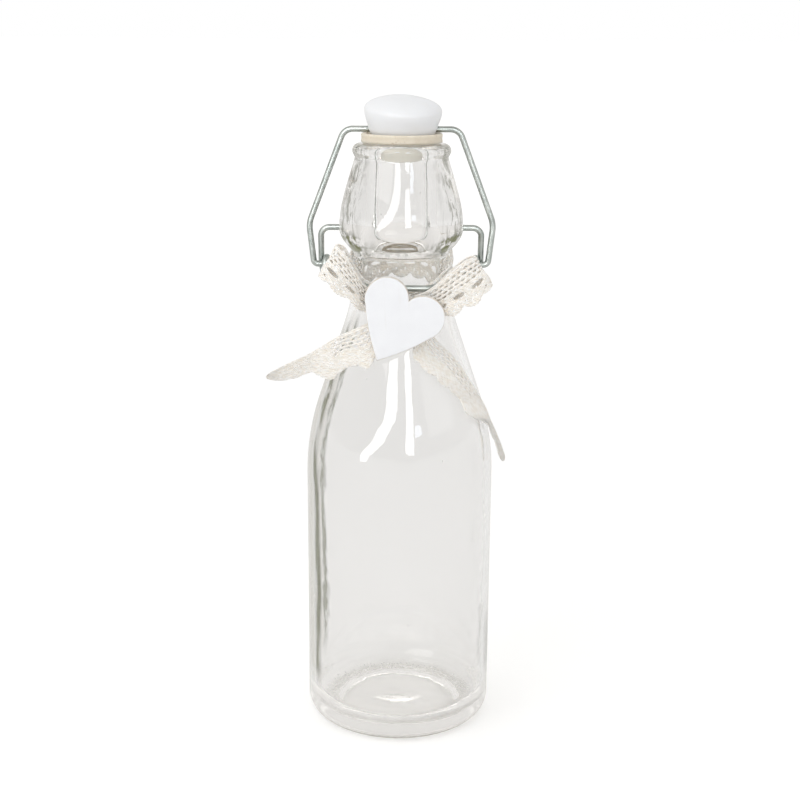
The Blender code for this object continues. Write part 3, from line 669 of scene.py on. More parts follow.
def outer_profile():
    """The glass from the lip's top edge down to the foot of the shoulder, as (radius, height)."""
    slope = -SHOULDER_SLOPE
    cone = -atan2(BEAD_LOW - PIVOT, BULB_RADIUS - BEAD_NECK_RADIUS) + radians(3.5)
    under_bulb = radians(-132)
    glass = Profile([(BEAD_RADIUS - LIP_ROUND, LIP_TOP)])
    glass.curve(0, (BEAD_RADIUS, BEAD_MIDDLE), DOWN, 10, ROUND_PULL)
    glass.curve(DOWN, (BEAD_NECK_RADIUS, BEAD_LOW), radians(-115), 8)
    glass.curve(cone, (BULB_RADIUS, PIVOT), DOWN, 26, SOFT_PULL)
    glass.curve(DOWN, (BULB_UNDER_RADIUS, BULB_UNDER), under_bulb, 14)
    glass.curve(under_bulb, (NECK_RADIUS, NECK_HIGH), DOWN, 8)
    glass.line((NECK_RADIUS, NECK_LOW), 4)
    glass.curve(DOWN, (SLOPE_HIGH_RADIUS, SLOPE_HIGH), slope, 16, SOFT_PULL)
    glass.line((SLOPE_LOW_RADIUS, SLOPE_LOW), 12)
    glass.curve(slope, (BODY_RADIUS, BODY_HEIGHT), DOWN, 16, SOFT_PULL)
    return glass


def inner_profile():
    """The inside, from the floor's middle up to the mouth's top edge."""
    slope = pi - SHOULDER_SLOPE
    inside = Vector((-sin(SHOULDER_SLOPE), -cos(SHOULDER_SLOPE))) * WALL
    wall_radius = BODY_RADIUS - WALL
    neck_radius = NECK_RADIUS - NECK_WALL
    slope_low = Vector((SLOPE_LOW_RADIUS, SLOPE_LOW)) + inside
    slope_high = Vector((SLOPE_HIGH_RADIUS, SLOPE_HIGH)) + inside
    glass = Profile([(0, FLOOR_RISE)])
    glass.curve(0, (FLOOR_RING, FLOOR_LOW), 0, 14)
    glass.curve(0, (wall_radius, FLOOR_LOW + FLOOR_FILLET), UP, 14, ROUND_PULL)
    glass.line((wall_radius, BODY_HEIGHT), 24)
    glass.curve(UP, slope_low, slope, 14, SOFT_PULL)
    glass.line(slope_high, 10)
    glass.curve(slope, (neck_radius, NECK_LOW), UP, 12, SOFT_PULL)
    glass.line((neck_radius, BORE_FLARE), 4)
    glass.curve(UP, (BORE_RADIUS, LIP_TOP - BORE_DEPTH), UP, 18, 0.5)
    glass.line((BORE_RADIUS, LIP_TOP - MOUTH_ROUND), 14)
    glass.curve(UP, (BORE_RADIUS + MOUTH_ROUND, LIP_TOP), 0, 6, ROUND_PULL)
    return glass.points


def swell(radius, height, angles):
    """Slow waves on the blown inside, and fainter ones outside."""
    a = angles[None, :]
    wave = (0.42 * np.sin(a + 1.1 + height * 22) + 0.30 * np.sin(2 * a + height * 64 + 2.0)
            + 0.18 * np.sin(3 * a - height * 96 + 0.6) + 0.15 * np.sin(5 * a + height * 150 + 4.0)
            + 0.10 * np.sin(9 * a - height * 260 + 1.0))
    is_inside = np.arange(len(radius))[:, None] < len(inner_profile()) - 1
    fade = np.interp(height, (0.006, 0.02, 0.15, 0.165, 0.182, 0.184), (0.3, 1, 0.8, 0.35, 0.3, 0))
    return wave * (np.where(is_inside, 0.00022, 0.00003) * fade) * (radius > 0.004)


# Seeds, the small bubbles in the glass: azimuth in degrees, height, distance from the axis, radius
SEEDS = (
    (-62, 0.0935, 0.0274, 0.00022), (-118, 0.118, 0.0214, 0.00016), (-84, 0.041, 0.0288, 0.00018),
    (-38, 0.066, 0.0289, 0.00014), (30, 0.083, 0.0288, 0.0002), (75, 0.052, 0.0289, 0.00016),
    (140, 0.101, 0.0262, 0.00018), (-150, 0.028, 0.0288, 0.00022), (-20, 0.171, 0.0138, 0.00018),
    (-66, 0.174, 0.0126, 0.00014), (-112, 0.168, 0.0150, 0.00016), (160, 0.175, 0.0120, 0.00018),
)


def add_seeds(obj):
    with editing(obj.data) as work:
        for azimuth, height, distance, radius in SEEDS:
            a = radians(azimuth)
            centre = Vector((AXIS_OFFSET + distance * cos(a), distance * sin(a), height))
            longer = Matrix.Diagonal((1, 1, 1.5, 1))
            made = bmesh.ops.create_icosphere(work, subdivisions=2, radius=radius,
                                              matrix=Matrix.Translation(centre) @ longer)
            faces = {f for v in made["verts"] for f in v.link_faces}
            bmesh.ops.reverse_faces(work, faces=list(faces))
            for f in faces:
                f.smooth = True


def bottle():
    outside = outer_profile()
    outside.line((BODY_RADIUS, BASE_CORNER), 24)
    outside.curve(DOWN, (BEARING_OUTER, 0), pi, 16, ROUND_PULL)
    outside.line((BEARING_INNER, 0), 5)
    outside.curve(radians(150), (PUNT_SHOULDER, PUNT_RISE / 2), radians(150), 8)
    outside.curve(radians(165), (0, PUNT_RISE), pi, 12)
    obj = turned("bottle_glass", inner_profile() + outside.points, 224, swell)
    depth = DIMPLE_DEPTH + 0.002
    wide = HOLE_RADIUS + DIMPLE_FLARE * depth / DIMPLE_DEPTH
    reach = BULB_RADIUS - DIMPLE_DEPTH + depth / 2
    for side in (1, -1):
        drill(obj, HOLE_RADIUS, wide, depth, (AXIS_OFFSET + side * reach, 0, PIVOT), (side, 0, 0))
    add_seeds(obj)
    obj.data.shade_smooth()
    obj.data.set_sharp_from_angle(angle=radians(50))
    dress(obj, clear_glass(), "bottle", "clear_glass", "glass_bottle")


# ---------- closure ----------

def bent(corners, arc_steps=14):
    """A wire's route: each corner is a point and its bend radius, 0 at an end."""
    route = [Vector(corners[0][0])]
    for (before, _), (corner, radius), (after, _) in zip(corners, corners[1:], corners[2:]):
        corner = Vector(corner)
        to_start = (Vector(before) - corner).normalized()
        to_end = (Vector(after) - corner).normalized()
        half = to_start.angle(to_end) / 2
        reach = radius * cos(half) / sin(half)
        centre = corner + (to_start + to_end).normalized() * radius / sin(half)
        first = corner + to_start * reach - centre
        last = corner + to_end * reach - centre
        axis = first.cross(last)
        turn = first.angle(last)
        steps = max(2, ceil(turn / (pi / 2) * arc_steps))
        for i in range(steps + 1):
            route.append(centre + Matrix.Rotation(turn * i / steps, 3, axis) @ first)
    route.append(Vector(corners[-1][0]))
    return route


def mirrored(half):
    """A whole route from its half, which starts in the middle."""
    return [Vector((-p.x, p.y, p.z)) for p in reversed(half)] + half


def lever_route():
    """Half of the lever from the middle of its bar, with the pivot at the origin."""
    bar = Vector((-BAR_REACH, BAR - PIVOT))
    eye = Vector((0, EYE - PIVOT))
    to_bar = bar - eye
    leave = atan2(to_bar.y, to_bar.x) + acos(EYE_RADIUS / to_bar.length)
    enter = pi / 2 - acos(EYE_RADIUS / LEVER_CRANK)
    wrap = enter - leave + 2 * pi
    inner = LEVER_ARM - EYE_PITCH * wrap / (2 * pi)
    turns = []
    steps = ceil(wrap / radians(9))
    for i in range(steps + 1):
        share = i / steps
        angle = leave + wrap * share
        turns.append(Vector((
            inner + (LEVER_ARM - inner) * share,
            eye.x + EYE_RADIUS * cos(angle),
            eye.y + EYE_RADIUS * sin(angle),
        )))
    tip = BULB_RADIUS - PIN_ENGAGEMENT
    front = bent([
        ((0, -BAR_REACH, BAR - PIVOT), 0),
        ((BAR_HALF, -BAR_REACH, BAR - PIVOT), BAR_BEND),
        (turns[0], 0),
    ])
    top = bent([(turns[-1], 0), ((LEVER_ARM, 0, 0), LEVER_BEND), ((tip, 0, 0), 0)])
    return front[1:-1] + turns + top[1:]


def yoke_route():
    """Half of the yoke from the middle of its cross wire, with its pins at the origin's height."""
    rise = CROSS_WIRE - EYE
    pin_end = LEVER_ARM - EYE_PITCH * 1.25 - WIRE_RADIUS - YOKE_PIN_OVERRUN
    shoulder, widest, foot = YOKE_BENDS
    return bent([
        ((0, 0, rise), 0),
        ((YOKE_SHOULDER_HALF, 0, rise), shoulder),
        ((YOKE_WIDEST_HALF, 0, YOKE_WIDEST_RISE), widest),
        ((YOKE_BOTTOM_HALF, 0, 0), foot),
        ((pin_end, 0, 0), 0),
    ])[1:]


def divided(route, spacing):
    """A route with its repeated points left out and its long pieces divided."""
    line = [np.array(route[0])]
    for p in route[1:]:
        p = np.array(p)
        start = line[-1]
        gap = np.linalg.norm(p - start)
        if gap < 1e-6:
            continue
        pieces = max(1, int(gap / spacing))
        line += [start + (p - start) * k / pieces for k in range(1, pieces + 1)]
    return np.array(line)


def tube(name, route, height, sides=24):
    """A wire along a route with its origin at a height on the axis.

    It has a UV map in millimetres and slightly rounded cut ends.
    """
    route = [Vector((p.x + AXIS_OFFSET, p.y, p.z + height)) for p in route]
    line = divided(route, WIRE_SPACING)
    tangents = np.gradient(line, axis=0)
    tangents /= np.linalg.norm(tangents, axis=1)[:, None]
    side = np.cross(tangents[0], (0.1, 0.9, 0.3))
    rings = []
    for at, tangent in zip(line, tangents):
        side = side - tangent * side.dot(tangent)
        side /= np.linalg.norm(side)
        rings.append((at, tangent, side, 1.0))
    ends = []
    for share in (0, 0.3, 0.65, 1):
        ends.append((0.25 * WIRE_RADIUS * share, 1 - 0.28 * (1 - share) ** 2))
    (first, ahead, side_a, _), (last, behind, side_b, _) = rings[0], rings[-1]
    start = [(first + ahead * step, ahead, side_a, shrink) for step, shrink in ends]
    finish = [(last - behind * step, behind, side_b, shrink) for step, shrink in reversed(ends)]
    rings = start + rings[1:-1] + finish
    points = []
    along = [0.0]
    for i, (at, tangent, side, shrink) in enumerate(rings):
        other = np.cross(tangent, side)
        if i:
            along.append(along[-1] + np.linalg.norm(at - rings[i - 1][0]) * MM)
        for j in range(sides):
            turn = tau * j / sides
            points.append(at + (side * cos(turn) + other * sin(turn)) * WIRE_RADIUS * shrink)
    uvs = []
    around = tau * WIRE_RADIUS * MM
    for here, there in zip(along, along[1:]):
        for j in range(sides):
            low, high = around * j / sides, around * (j + 1) / sides
            uvs += [(here, low), (here, high), (there, high), (there, low)]
    uvs += [(0, 0)] * (2 * sides)
    obj = new_solid(name, points, ring_faces(len(rings), sides), uvs)
    obj.data.set_sharp_from_angle(angle=radians(50))
    return obj


def wires():
    zinc = zinc_wire()
    lever = tube("closure_lever", mirrored(lever_route()), PIVOT)
    dress(lever, zinc, "lever", "zinc_wire", "lever_wire")
    yoke = tube("closure_yoke", mirrored(yoke_route()), EYE)
    dress(yoke, zinc, "yoke", "zinc_wire", "yoke_wire")


def stem_profile(gap):
    """The stem under the cap with a gap all round, down to its tip on the axis."""
    wide = [(STEM_RADIUS, 0), (STEM_RADIUS, 0.45), (STEM_BARB_RADIUS, 0.58), (STEM_BARB_RADIUS, 0.68)]
    points = [Vector((radius + gap, HEAD_BOTTOM - STEM_LENGTH * share)) for radius, share in wide]
    points[0].y = HEAD_BOTTOM - gap
    tip = HEAD_BOTTOM - STEM_LENGTH - gap
    return points + [Vector((STEM_TIP_RADIUS + gap, tip)), Vector((0, tip))]


def cap():
    dome = [(HEAD_RADIUS * sin(s), CROSS_WIRE + HEAD_WIDEST_RISE + HEAD_DOME_RISE * cos(s))
            for s in np.linspace(0, pi / 2, 40)]
    low_slope = radians(-105)
    form = Profile(dome)
    form.curve(DOWN, (HEAD_WAIST_RADIUS, CROSS_WIRE + HEAD_SIDE_RISE), low_slope, 12, SOFT_PULL)
    form.curve(low_slope, (HEAD_BOTTOM_RADIUS, HEAD_BOTTOM), pi, 14)
    head = turned("stopper_cap", form.points + stem_profile(0), 128)
    seat = Vector((AXIS_OFFSET, 0, HEAD_BOTTOM))
    lean = Matrix.Rotation(HEAD_TILT[0], 3, "X") @ Matrix.Rotation(HEAD_TILT[1], 3, "Y")
    for v in head.data.vertices:
        if v.co.z > HEAD_BOTTOM - 0.0001:
            share = min(1, DISH_TILT_SHARE + (v.co.z - HEAD_BOTTOM) / HEAD_TILT_FROM)
            v.co = v.co.lerp(seat + lean @ (v.co - seat), share)
    drill(head, HOLE_RADIUS, HOLE_RADIUS, 0.03, (AXIS_OFFSET, 0, CROSS_WIRE), (1, 0, 0))
    head.data.shade_smooth()
    head.data.set_sharp_from_angle(angle=radians(35))
    dress(head, white_plastic(), "stopper", "white_stopper", "stopper_head")


def washer():
    dish = HEAD_BOTTOM - GAP
    tip = LIP_TOP - PLUG_DEPTH
    edge = WASHER_RADIUS - WASHER_ROUND
    middle = (WASHER_RADIUS - 0.00012, (WASHER_TOP + WASHER_LOW) / 2)
    form = Profile(reversed(stem_profile(GAP)))
    form.points[-1].y = dish
    form.line((HEAD_BOTTOM_RADIUS, dish), 4)
    form.curve(0, (HEAD_WAIST_RADIUS + GAP, WASHER_TOP), radians(75), 10)
    form.line((edge, WASHER_TOP), 3)
    form.curve(0, (WASHER_RADIUS, WASHER_TOP - WASHER_ROUND), DOWN, 6, ROUND_PULL)
    form.curve(radians(-97), middle, DOWN, 4)
    form.curve(DOWN, (WASHER_RADIUS, WASHER_LOW + WASHER_ROUND), radians(-83), 4)
    form.curve(DOWN, (edge, WASHER_LOW), pi, 6, ROUND_PULL)
    form.line((PLUG_RADIUS, WASHER_LOW), 6)
    form.line((PLUG_TIP_RADIUS + 0.0007, tip + PLUG_ROUND), 6)
    form.curve(radians(-105), (PLUG_TIP_RADIUS - PLUG_ROUND, tip), pi, 12)
    obj = turned("stopper_washer", form.points + [Vector((0, tip))], 128)
    for v in obj.data.vertices:
        out = hypot(v.co.x - AXIS_OFFSET, v.co.y)
        share = min(1, max(0, (0.0114 - out) / 0.0008))
        if v.co.z > dish - 0.0002:
            v.co.z += share * DISH_TILT_SHARE * sin(HEAD_TILT[0]) * v.co.y
    obj.data.set_sharp_from_angle(angle=radians(40))
    dress(obj, cream_rubber(), "stopper", "cream_rubber", "sealing_washer")


# ---------- lace ----------

def between(stations, share):
    """Smooth values through evenly spaced stations, for an array of shares."""
    s = np.array(stations, dtype=float)
    last = len(s) - 1
    padded = np.vstack([2 * s[0] - s[1], s, 2 * s[-1] - s[-2]])
    at = np.clip(share, 0, 1) * last
    i = np.minimum(at.astype(int), last - 1)
    t = (at - i)[:, None]
    p0, p1, p2, p3 = padded[i], padded[i + 1], padded[i + 2], padded[i + 3]
    return (2 * p1 + (p2 - p0) * t + (2 * p0 - 5 * p1 + 4 * p2 - p3) * t**2
            + (3 * p1 - p0 - 3 * p2 + p3) * t**3) / 2


OUTLINE = np.array([(p.y, p.x) for p in reversed(outer_profile().points)])
KNOT_FRONT = (float(np.interp(KNOT, OUTLINE[:, 0], OUTLINE[:, 1])) + 2 * GAP + LACE_THICKNESS
              + 2 * KNOT_HALF_DEPTH)
KNOT_AT = np.array((AXIS_OFFSET + KNOT_OFFSET, -(KNOT_FRONT - KNOT_HALF_DEPTH), KNOT))


def bow_map(stations):
    """Places near the knot, from shares of the lace's width: across, up and forward."""
    s = stations * LACE_WIDTH
    return np.stack([KNOT_AT[0] + s[:, 0], KNOT_AT[1] - s[:, 2], KNOT_AT[2] + s[:, 1]], axis=1)


def glass_map(stations):
    """Places off the glass: azimuth from the front in degrees, then up and outward in shares."""
    height = KNOT + stations[:, 1] * LACE_WIDTH
    radius = np.interp(height, OUTLINE[:, 0], OUTLINE[:, 1]) + stations[:, 2] * LACE_WIDTH
    angle = np.radians(stations[:, 0])
    return np.stack([AXIS_OFFSET + radius * np.sin(angle), -radius * np.cos(angle), height], axis=1)


def normals(at, u, v, length):
    """Unit normals of the surface at(u, v)."""
    step = 0.0001
    along = at(np.minimum(u + step, length), v) - at(np.maximum(u - step, 0), v)
    across = at(u, v + step) - at(u, v - step)
    n = np.cross(along, across)
    return n / np.maximum(np.linalg.norm(n, axis=1), 1e-12)[:, None]


def ruled(heading, scallop, mapping, fold):
    """A run's surface: at(u, v) in metres along the run and across it, its length, and its folds."""
    fine = np.linspace(0, 1, 500)
    middle = mapping((between(heading, fine) + between(scallop, fine)) / 2)
    steps = np.linalg.norm(np.diff(middle, axis=0), axis=1)
    along = np.concatenate([[0], np.cumsum(steps)])
    length = float(along[-1])

    def plain(u, v):
        share = np.interp(u, along, fine)
        start, end = between(heading, share), between(scallop, share)
        return mapping(start + (end - start) * (v / LACE_WIDTH)[:, None])

    def folded(u, v):
        return plain(u, v) + normals(plain, u, v, length) * fold(u, v, length)[:, None]

    return folded, length


def pattern(u, v, length, slots, eyelets, tip, closed):
    """Distance in metres to the nearest hole or edge: above 0 is cloth."""
    scallops = max(1, round(length / SCALLOP_PITCH))
    pitch = length / scallops
    phase = (u / pitch) % 1
    edge = SCALLOP_LOW + SCALLOP_DEEP * np.sin(pi * phase) ** 0.7
    edge = edge + 0.00012 * np.cos(tau * u / (pitch / 6))
    near = np.minimum(v, (edge - v) * 0.85)
    if not closed:
        near = np.minimum(near, np.minimum(u, length - u))
    if tip:
        past = np.maximum(u - (length - tip), 0) / tip
        half = LACE_WIDTH * 0.53 * np.sqrt(np.maximum(1 - past**2, 0))
        near = np.minimum(near, half - np.abs(v - LACE_WIDTH * 0.5))

    def oval(pitch, offset, v_at, size):
        du = (u - offset + pitch / 2) % pitch - pitch / 2
        return (np.hypot(du / size[0], (v - v_at) / size[1]) - 1) * min(size)

    slot_pitch = length / max(1, round(length / SLOT_PITCH))
    for k, row in enumerate(SLOT_ROWS):
        offset = slot_pitch * (0.5 if k % 2 else 0) + 0.0003
        gap = oval(slot_pitch, offset, row, SLOT_SIZE) + (1 - slots(u)) * 0.0008
        near = np.minimum(near, gap)
    gap = oval(pitch, 0.0, EYELET_AT, EYELET_SIZE) + (1 - eyelets(u)) * 0.002
    near = np.minimum(near, gap)
    for shift in (-0.25, 0, 0.25):
        pip_at = PIP_AT + 0.0008 - 0.006 * shift**2 * 2
        pip = oval(pitch, pitch * (0.5 + shift), pip_at, (PIP_SIZE, PIP_SIZE))
        near = np.minimum(near, pip + (1 - eyelets(u)) * 0.001)
    return near


def crossings(field, other, changes):
    """How far from each point towards the other the cloth's edge lies, as a share."""
    return np.clip(field / np.where(changes, field - other, 1), 0.12, 0.88)


def lace_strip(name, node, heading, scallop, mapping, fold, slots, eyelets, tip=0.0, closed=False,
               tapered=False):
    """One run of the lace: a grid with two faces, cut along every hole and edge."""
    at, length = ruled(heading, scallop, mapping, fold)
    columns = int(round(length / GRID))
    rows = int(ceil((SCALLOP_LOW + SCALLOP_DEEP + 0.0003) / GRID))
    us = np.linspace(0, length, columns + 1)
    vs = np.arange(rows + 1) * GRID
    if closed:
        us = us[:-1]
    n, m = len(us), len(vs)
    grid_u, grid_v = np.meshgrid(us, vs, indexing="ij")
    field = pattern(grid_u, grid_v, length, slots, eyelets, tip, closed)
    inside = field > 0
    count = int(inside.sum())
    step_u = us[1] - us[0]
    cross_u = inside != np.roll(inside, -1, axis=0)
    if not closed:
        cross_u[-1] = False
    cross_v = inside[:, :-1] != inside[:, 1:]
    share_u = crossings(field, np.roll(field, -1, axis=0), cross_u)
    share_v = crossings(field[:, :-1], field[:, 1:], cross_v)

    def numbered(where, start):
        ids = np.full(where.shape, -1)
        ids[where] = start + np.arange(where.sum())
        return ids

    ids = numbered(inside, 0)
    ids_u = numbered(cross_u, 2 * count)
    ids_v = numbered(cross_v, 2 * count + cross_u.sum())
    node_u, node_v = grid_u[inside], grid_v[inside]
    rim_u = np.concatenate([(grid_u + share_u * step_u)[cross_u], grid_u[:, :-1][cross_v]])
    rim_v = np.concatenate([grid_v[cross_u], (grid_v[:, :-1] + share_v * GRID)[cross_v]])
    centre = at(node_u, node_v)
    up = normals(at, node_u, node_v, length)
    share = np.clip(field[inside] / LACE_ROUND, 0, 1)
    ribs = 1 + 0.16 * np.cos(tau * (node_v - SLOT_ROWS[0]) / 0.0015 + pi) * (node_v < 0.0075)
    rise = up * (LACE_HALF * np.sqrt(1 - (1 - share) ** 2) * ribs)[:, None]
    points = np.vstack([centre + rise, centre - rise, at(rim_u, rim_v)])

    faces = []
    full_area = 0.0
    for i in range(n if closed else n - 1):
        k = (i + 1) % n
        for j in range(m - 1):
            corners = ((i, j), (k, j), (k, j + 1), (i, j + 1))
            kept = [inside[c] for c in corners]
            if not any(kept):
                continue
            if all(kept):
                top = [ids[c] for c in corners]
                full_area += step_u * GRID
            else:
                full_area += step_u * GRID * 0.5
                edges = (ids_u[i, j], ids_v[k, j], ids_u[i, j + 1], ids_v[i, j])
                top = []
                for c, keep, crossing in zip(corners, kept, edges):
                    if keep:
                        top.append(ids[c])
                    if crossing >= 0:
                        top.append(crossing)
            if len(top) < 3:
                continue
            faces.append(tuple(int(t) for t in top))
            faces.append(tuple(int(t if t >= 2 * count else t + count) for t in reversed(top)))
    mesh = new_mesh(name, points.tolist(), faces)
    map_lace(mesh, np.concatenate([node_u, node_u, rim_u]) * MM,
             np.concatenate([node_v, node_v, rim_v]) * MM)
    mesh.shade_smooth()
    obj = new_object(name, mesh)
    dress(obj, LACE, "bottle", "ivory_lace", node)
    if tapered:
        full_area = sum(f.area for f in mesh.polygons) / 2


def stretch(low, high, blur=0.0015):
    """1 between two places along a run, fading to 0 at both."""
    def inside(u):
        return np.clip((u - low) / blur, 0, 1) * np.clip((high - u) / blur, 0, 1)
    return inside


def loop_fold(seed):
    def fold(u, v, length):
        end = np.exp(-u / 0.006) + np.exp(-(length - u) / 0.006)
        pleats = 0.00038 * end * np.sin(tau * 2.5 * v / LACE_WIDTH + seed)
        ripple = 0.00030 * np.sin(tau * u / 0.0105 + seed) * (v / LACE_WIDTH) ** 2
        cup = 0.00018 * np.sin(tau * u / 0.017 + 2 * seed + 9 * v / LACE_WIDTH)
        return pleats + ripple + cup
    return fold


def tail_fold(seed):
    def fold(u, v, length):
        end = np.exp(-u / 0.007)
        pleats = 0.00035 * end * np.sin(tau * 2.5 * v / LACE_WIDTH + seed)
        ripple = 0.00022 * np.sin(tau * u / 0.009 + seed) * (v / LACE_WIDTH) ** 2
        return pleats + ripple
    return fold


def band_fold(u, v, length):
    front = (1 + np.cos(tau * u / length)) / 2
    wander = 3 * np.sin(tau * u / length * 3)
    return (0.00030 + 0.00020 * front) * np.sin(tau * 3 * v / LACE_WIDTH + wander) - 0.0001


def band_stations():
    off = (GAP + LACE_THICKNESS / 2) / LACE_WIDTH
    front = BAND_FRONT_HALF / LACE_WIDTH
    back_low = BAND_BACK_RISE / LACE_WIDTH
    back_high = back_low + BAND_BACK_WIDTH / LACE_WIDTH
    heading = []
    scallop = []
    for i in range(9):
        azimuth = 360 * i / 8
        rise = ((1 - cos(radians(azimuth))) / 2) ** 0.7
        heading.append((azimuth, front + (back_high - front) * rise, off))
        scallop.append((azimuth, -front + (back_low + front) * rise, off))
    return heading, scallop


def knot():
    """The tied middle: the lace wrapped round the bow, drawn into pleats."""
    rings = 33
    sides = 72
    points = []
    for i in range(rings):
        at = 2 * i / (rings - 1) - 1
        squeeze = 1 - 0.12 * abs(at) ** 3
        close = min(1, (1 - abs(at)) / 0.10 + 0.45)
        for j in range(sides):
            turn = tau * j / sides
            pleat = 1 + 0.045 * cos(tau * at * 2.4 + 0.8 * sin(turn))
            pleat += 0.02 * cos(tau * at * 5.3 + 2 * turn)
            reach = squeeze * pleat * close * 0.96
            points.append((
                KNOT_AT[0] + at * (KNOT_HALF_LENGTH + 0.0003) + 0.0002 * sin(turn * 2),
                KNOT_AT[1] + KNOT_HALF_DEPTH * reach * cos(turn),
                KNOT_AT[2] + KNOT_HALF_HEIGHT * reach * sin(turn),
            ))
    obj = new_solid("lace_knot", points, ring_faces(rings, sides))
    place = np.arange(rings * sides)
    map_lace(obj.data, (place % sides) / sides * 20.0, (place // sides) / rings * 12.0)
    return dress(obj, LACE, "bottle", "ivory_lace", "ribbon_knot")


def ribbon():
    tied = knot()
    heading, scallop = band_stations()
    always, never = np.ones_like, np.zeros_like
    lace_strip("lace_band", "ribbon_neck_band", heading, scallop, glass_map, band_fold,
               always, always, closed=True)
    for side, heading, scallop, seed in (
        ("left", LEFT_LOOP_HEADING, LEFT_LOOP_SCALLOP, 0.4),
        ("right", RIGHT_LOOP_HEADING, RIGHT_LOOP_SCALLOP, 2.1),
    ):
        lace_strip("lace_loop_" + side, "bow_loop_" + side, heading, scallop, bow_map,
                   loop_fold(seed), always, always)
    for side, heading, scallop, seed, end in (
        ("left", LEFT_TAIL_HEADING, LEFT_TAIL_SCALLOP, 0.9, 0.024),
        ("right", RIGHT_TAIL_HEADING, RIGHT_TAIL_SCALLOP, 2.6, 0.034),
    ):
        lace_strip("lace_tail_" + side, "ribbon_tail_" + side, heading, scallop, glass_map,
                   tail_fold(seed), stretch(0.004, end), never, tip=0.003, tapered=True)


# ---------- heart ----------

def heart_outline():
    """The whole outline, with the tip at the origin."""
    lobe = Vector((HEART_LOBE_HALF, HEART_LOBE_RISE))
    notch_angle = pi - acos(HEART_LOBE_HALF / HEART_LOBE_RADIUS)
    tangent = -asin(HEART_LOBE_RADIUS / lobe.length) + atan2(HEART_LOBE_RISE, HEART_LOBE_HALF) - pi / 2
    half = []
    for i in range(41):
        angle = notch_angle + (tangent - notch_angle) * i / 40
        half.append(lobe + HEART_LOBE_RADIUS * Vector((cos(angle), sin(angle))))
    start = half[-1]
    side = -start
    swell_by = Vector((-side.y, side.x)) * HEART_SWELL_SHARE
    for i in range(1, 20):
        share = i / 20
        half.append(start + side * share + swell_by * sin(pi * share))
    left = [Vector((-p.x, p.y)) for p in reversed(half[1:])]
    return half + [Vector((0, 0))] + left


def drawn_in(outline, amount):
    """The outline moved inward by an amount, with its corners mitred."""
    count = len(outline)
    result = []
    for i, p in enumerate(outline):
        before = (p - outline[i - 1]).normalized()
        after = (outline[(i + 1) % count] - p).normalized()
        normal = Vector((before.y + after.y, -before.x - after.x))
        reach = max(0.5, normal.length / 2)
        result.append(p + normal.normalized() * amount / reach)
    return result


def heart():
    outline = heart_outline()
    turn = Matrix.Rotation(-HEART_TILT, 2)
    layers = [(0.0007, 0.0)]
    for k in range(5):
        angle = pi / 2 * k / 4
        layers.append((HEART_ROUND_BACK * (1 - sin(angle)), HEART_ROUND_BACK * (1 - cos(angle))))
    for k in range(6):
        angle = pi / 2 * k / 5
        layers.append((HEART_ROUND_FRONT * (1 - cos(angle)),
                       HEART_THICKNESS - HEART_ROUND_FRONT * (1 - sin(angle))))
    layers.append((0.0009, HEART_THICKNESS))
    points = []
    for inset, forward in layers:
        for p in drawn_in(outline, inset):
            q = turn @ p
            points.append((AXIS_OFFSET + HEART_TIP_OFFSET + q.x, -HEART_BACK - forward,
                           KNOT - HEART_TIP_DROP + q.y))
    count = len(outline)
    obj = new_solid("heart_board", points, ring_faces(len(layers), count))
    dress(obj, white_paint(), "bottle", "white_painted_wood", "wooden_heart")
    obj.data.materials.append(plywood_edge())
    for face in obj.data.polygons:
        layer = face.index // count
        if layer >= len(layers) - 1:
            face.use_smooth = False
        elif EDGE_LAYERS[0] <= layer <= EDGE_LAYERS[1]:
            face.material_index = 1
    with editing(obj.data) as work:
        bmesh.ops.triangulate(work, faces=[f for f in work.faces if len(f.verts) > 4])


def glue():
    """A pressed bead of hot glue between the knot and the heart."""
    start = KNOT_FRONT - 0.0004
    rings = 13
    sides = 56
    points = []
    for share in np.linspace(0, 1, rings):
        bulge = GLUE_RADIUS * (0.86 + 0.16 * sin(pi * share))
        for j in range(sides):
            turn = tau * j / sides
            radius = bulge * (1 + 0.05 * sin(3 * turn + 1) + 0.03 * sin(5 * turn))
            points.append((KNOT_AT[0] + radius * cos(turn), -(start + (HEART_BACK - start) * share),
                           KNOT_AT[2] + radius * sin(turn)))
    obj = new_solid("glue_bead", points, ring_faces(rings, sides))
    dress(obj, clear_glue(), "bottle", "clear_glue", "glue_dab")


# ---------- studio ----------

def emitter(name, colour, strength):
    p = Paint(name)
    p.put(p.output["Surface"], p.add("Emission", colour, strength))
    return p.material


def window(name, left, right, material):
    """Bright cards behind the camera, between two edges of (azimuth, elevation) in degrees.

    Only reflections see them.
    """
    points = []
    for azimuth, elevation in left + right:
        a, e = radians(azimuth), radians(elevation)
        points.append((AXIS_OFFSET + WINDOW_AWAY * tan(a), -WINDOW_AWAY,
                       WINDOW_HEIGHT + WINDOW_AWAY * tan(e) / cos(a)))
    count = len(left)
    for i in range(count - 1):
        corners = [points[i], points[i + 1], points[count + i + 1], points[count + i]]
        card = "%s_%d" % (name, i)
        obj = new_object(card, new_mesh(card, corners, [(0, 1, 2, 3)]))
        obj.data.materials.append(material)
        obj.visible_camera = False
        obj.visible_diffuse = False
        obj.visible_shadow = False
        obj.visible_transmission = False


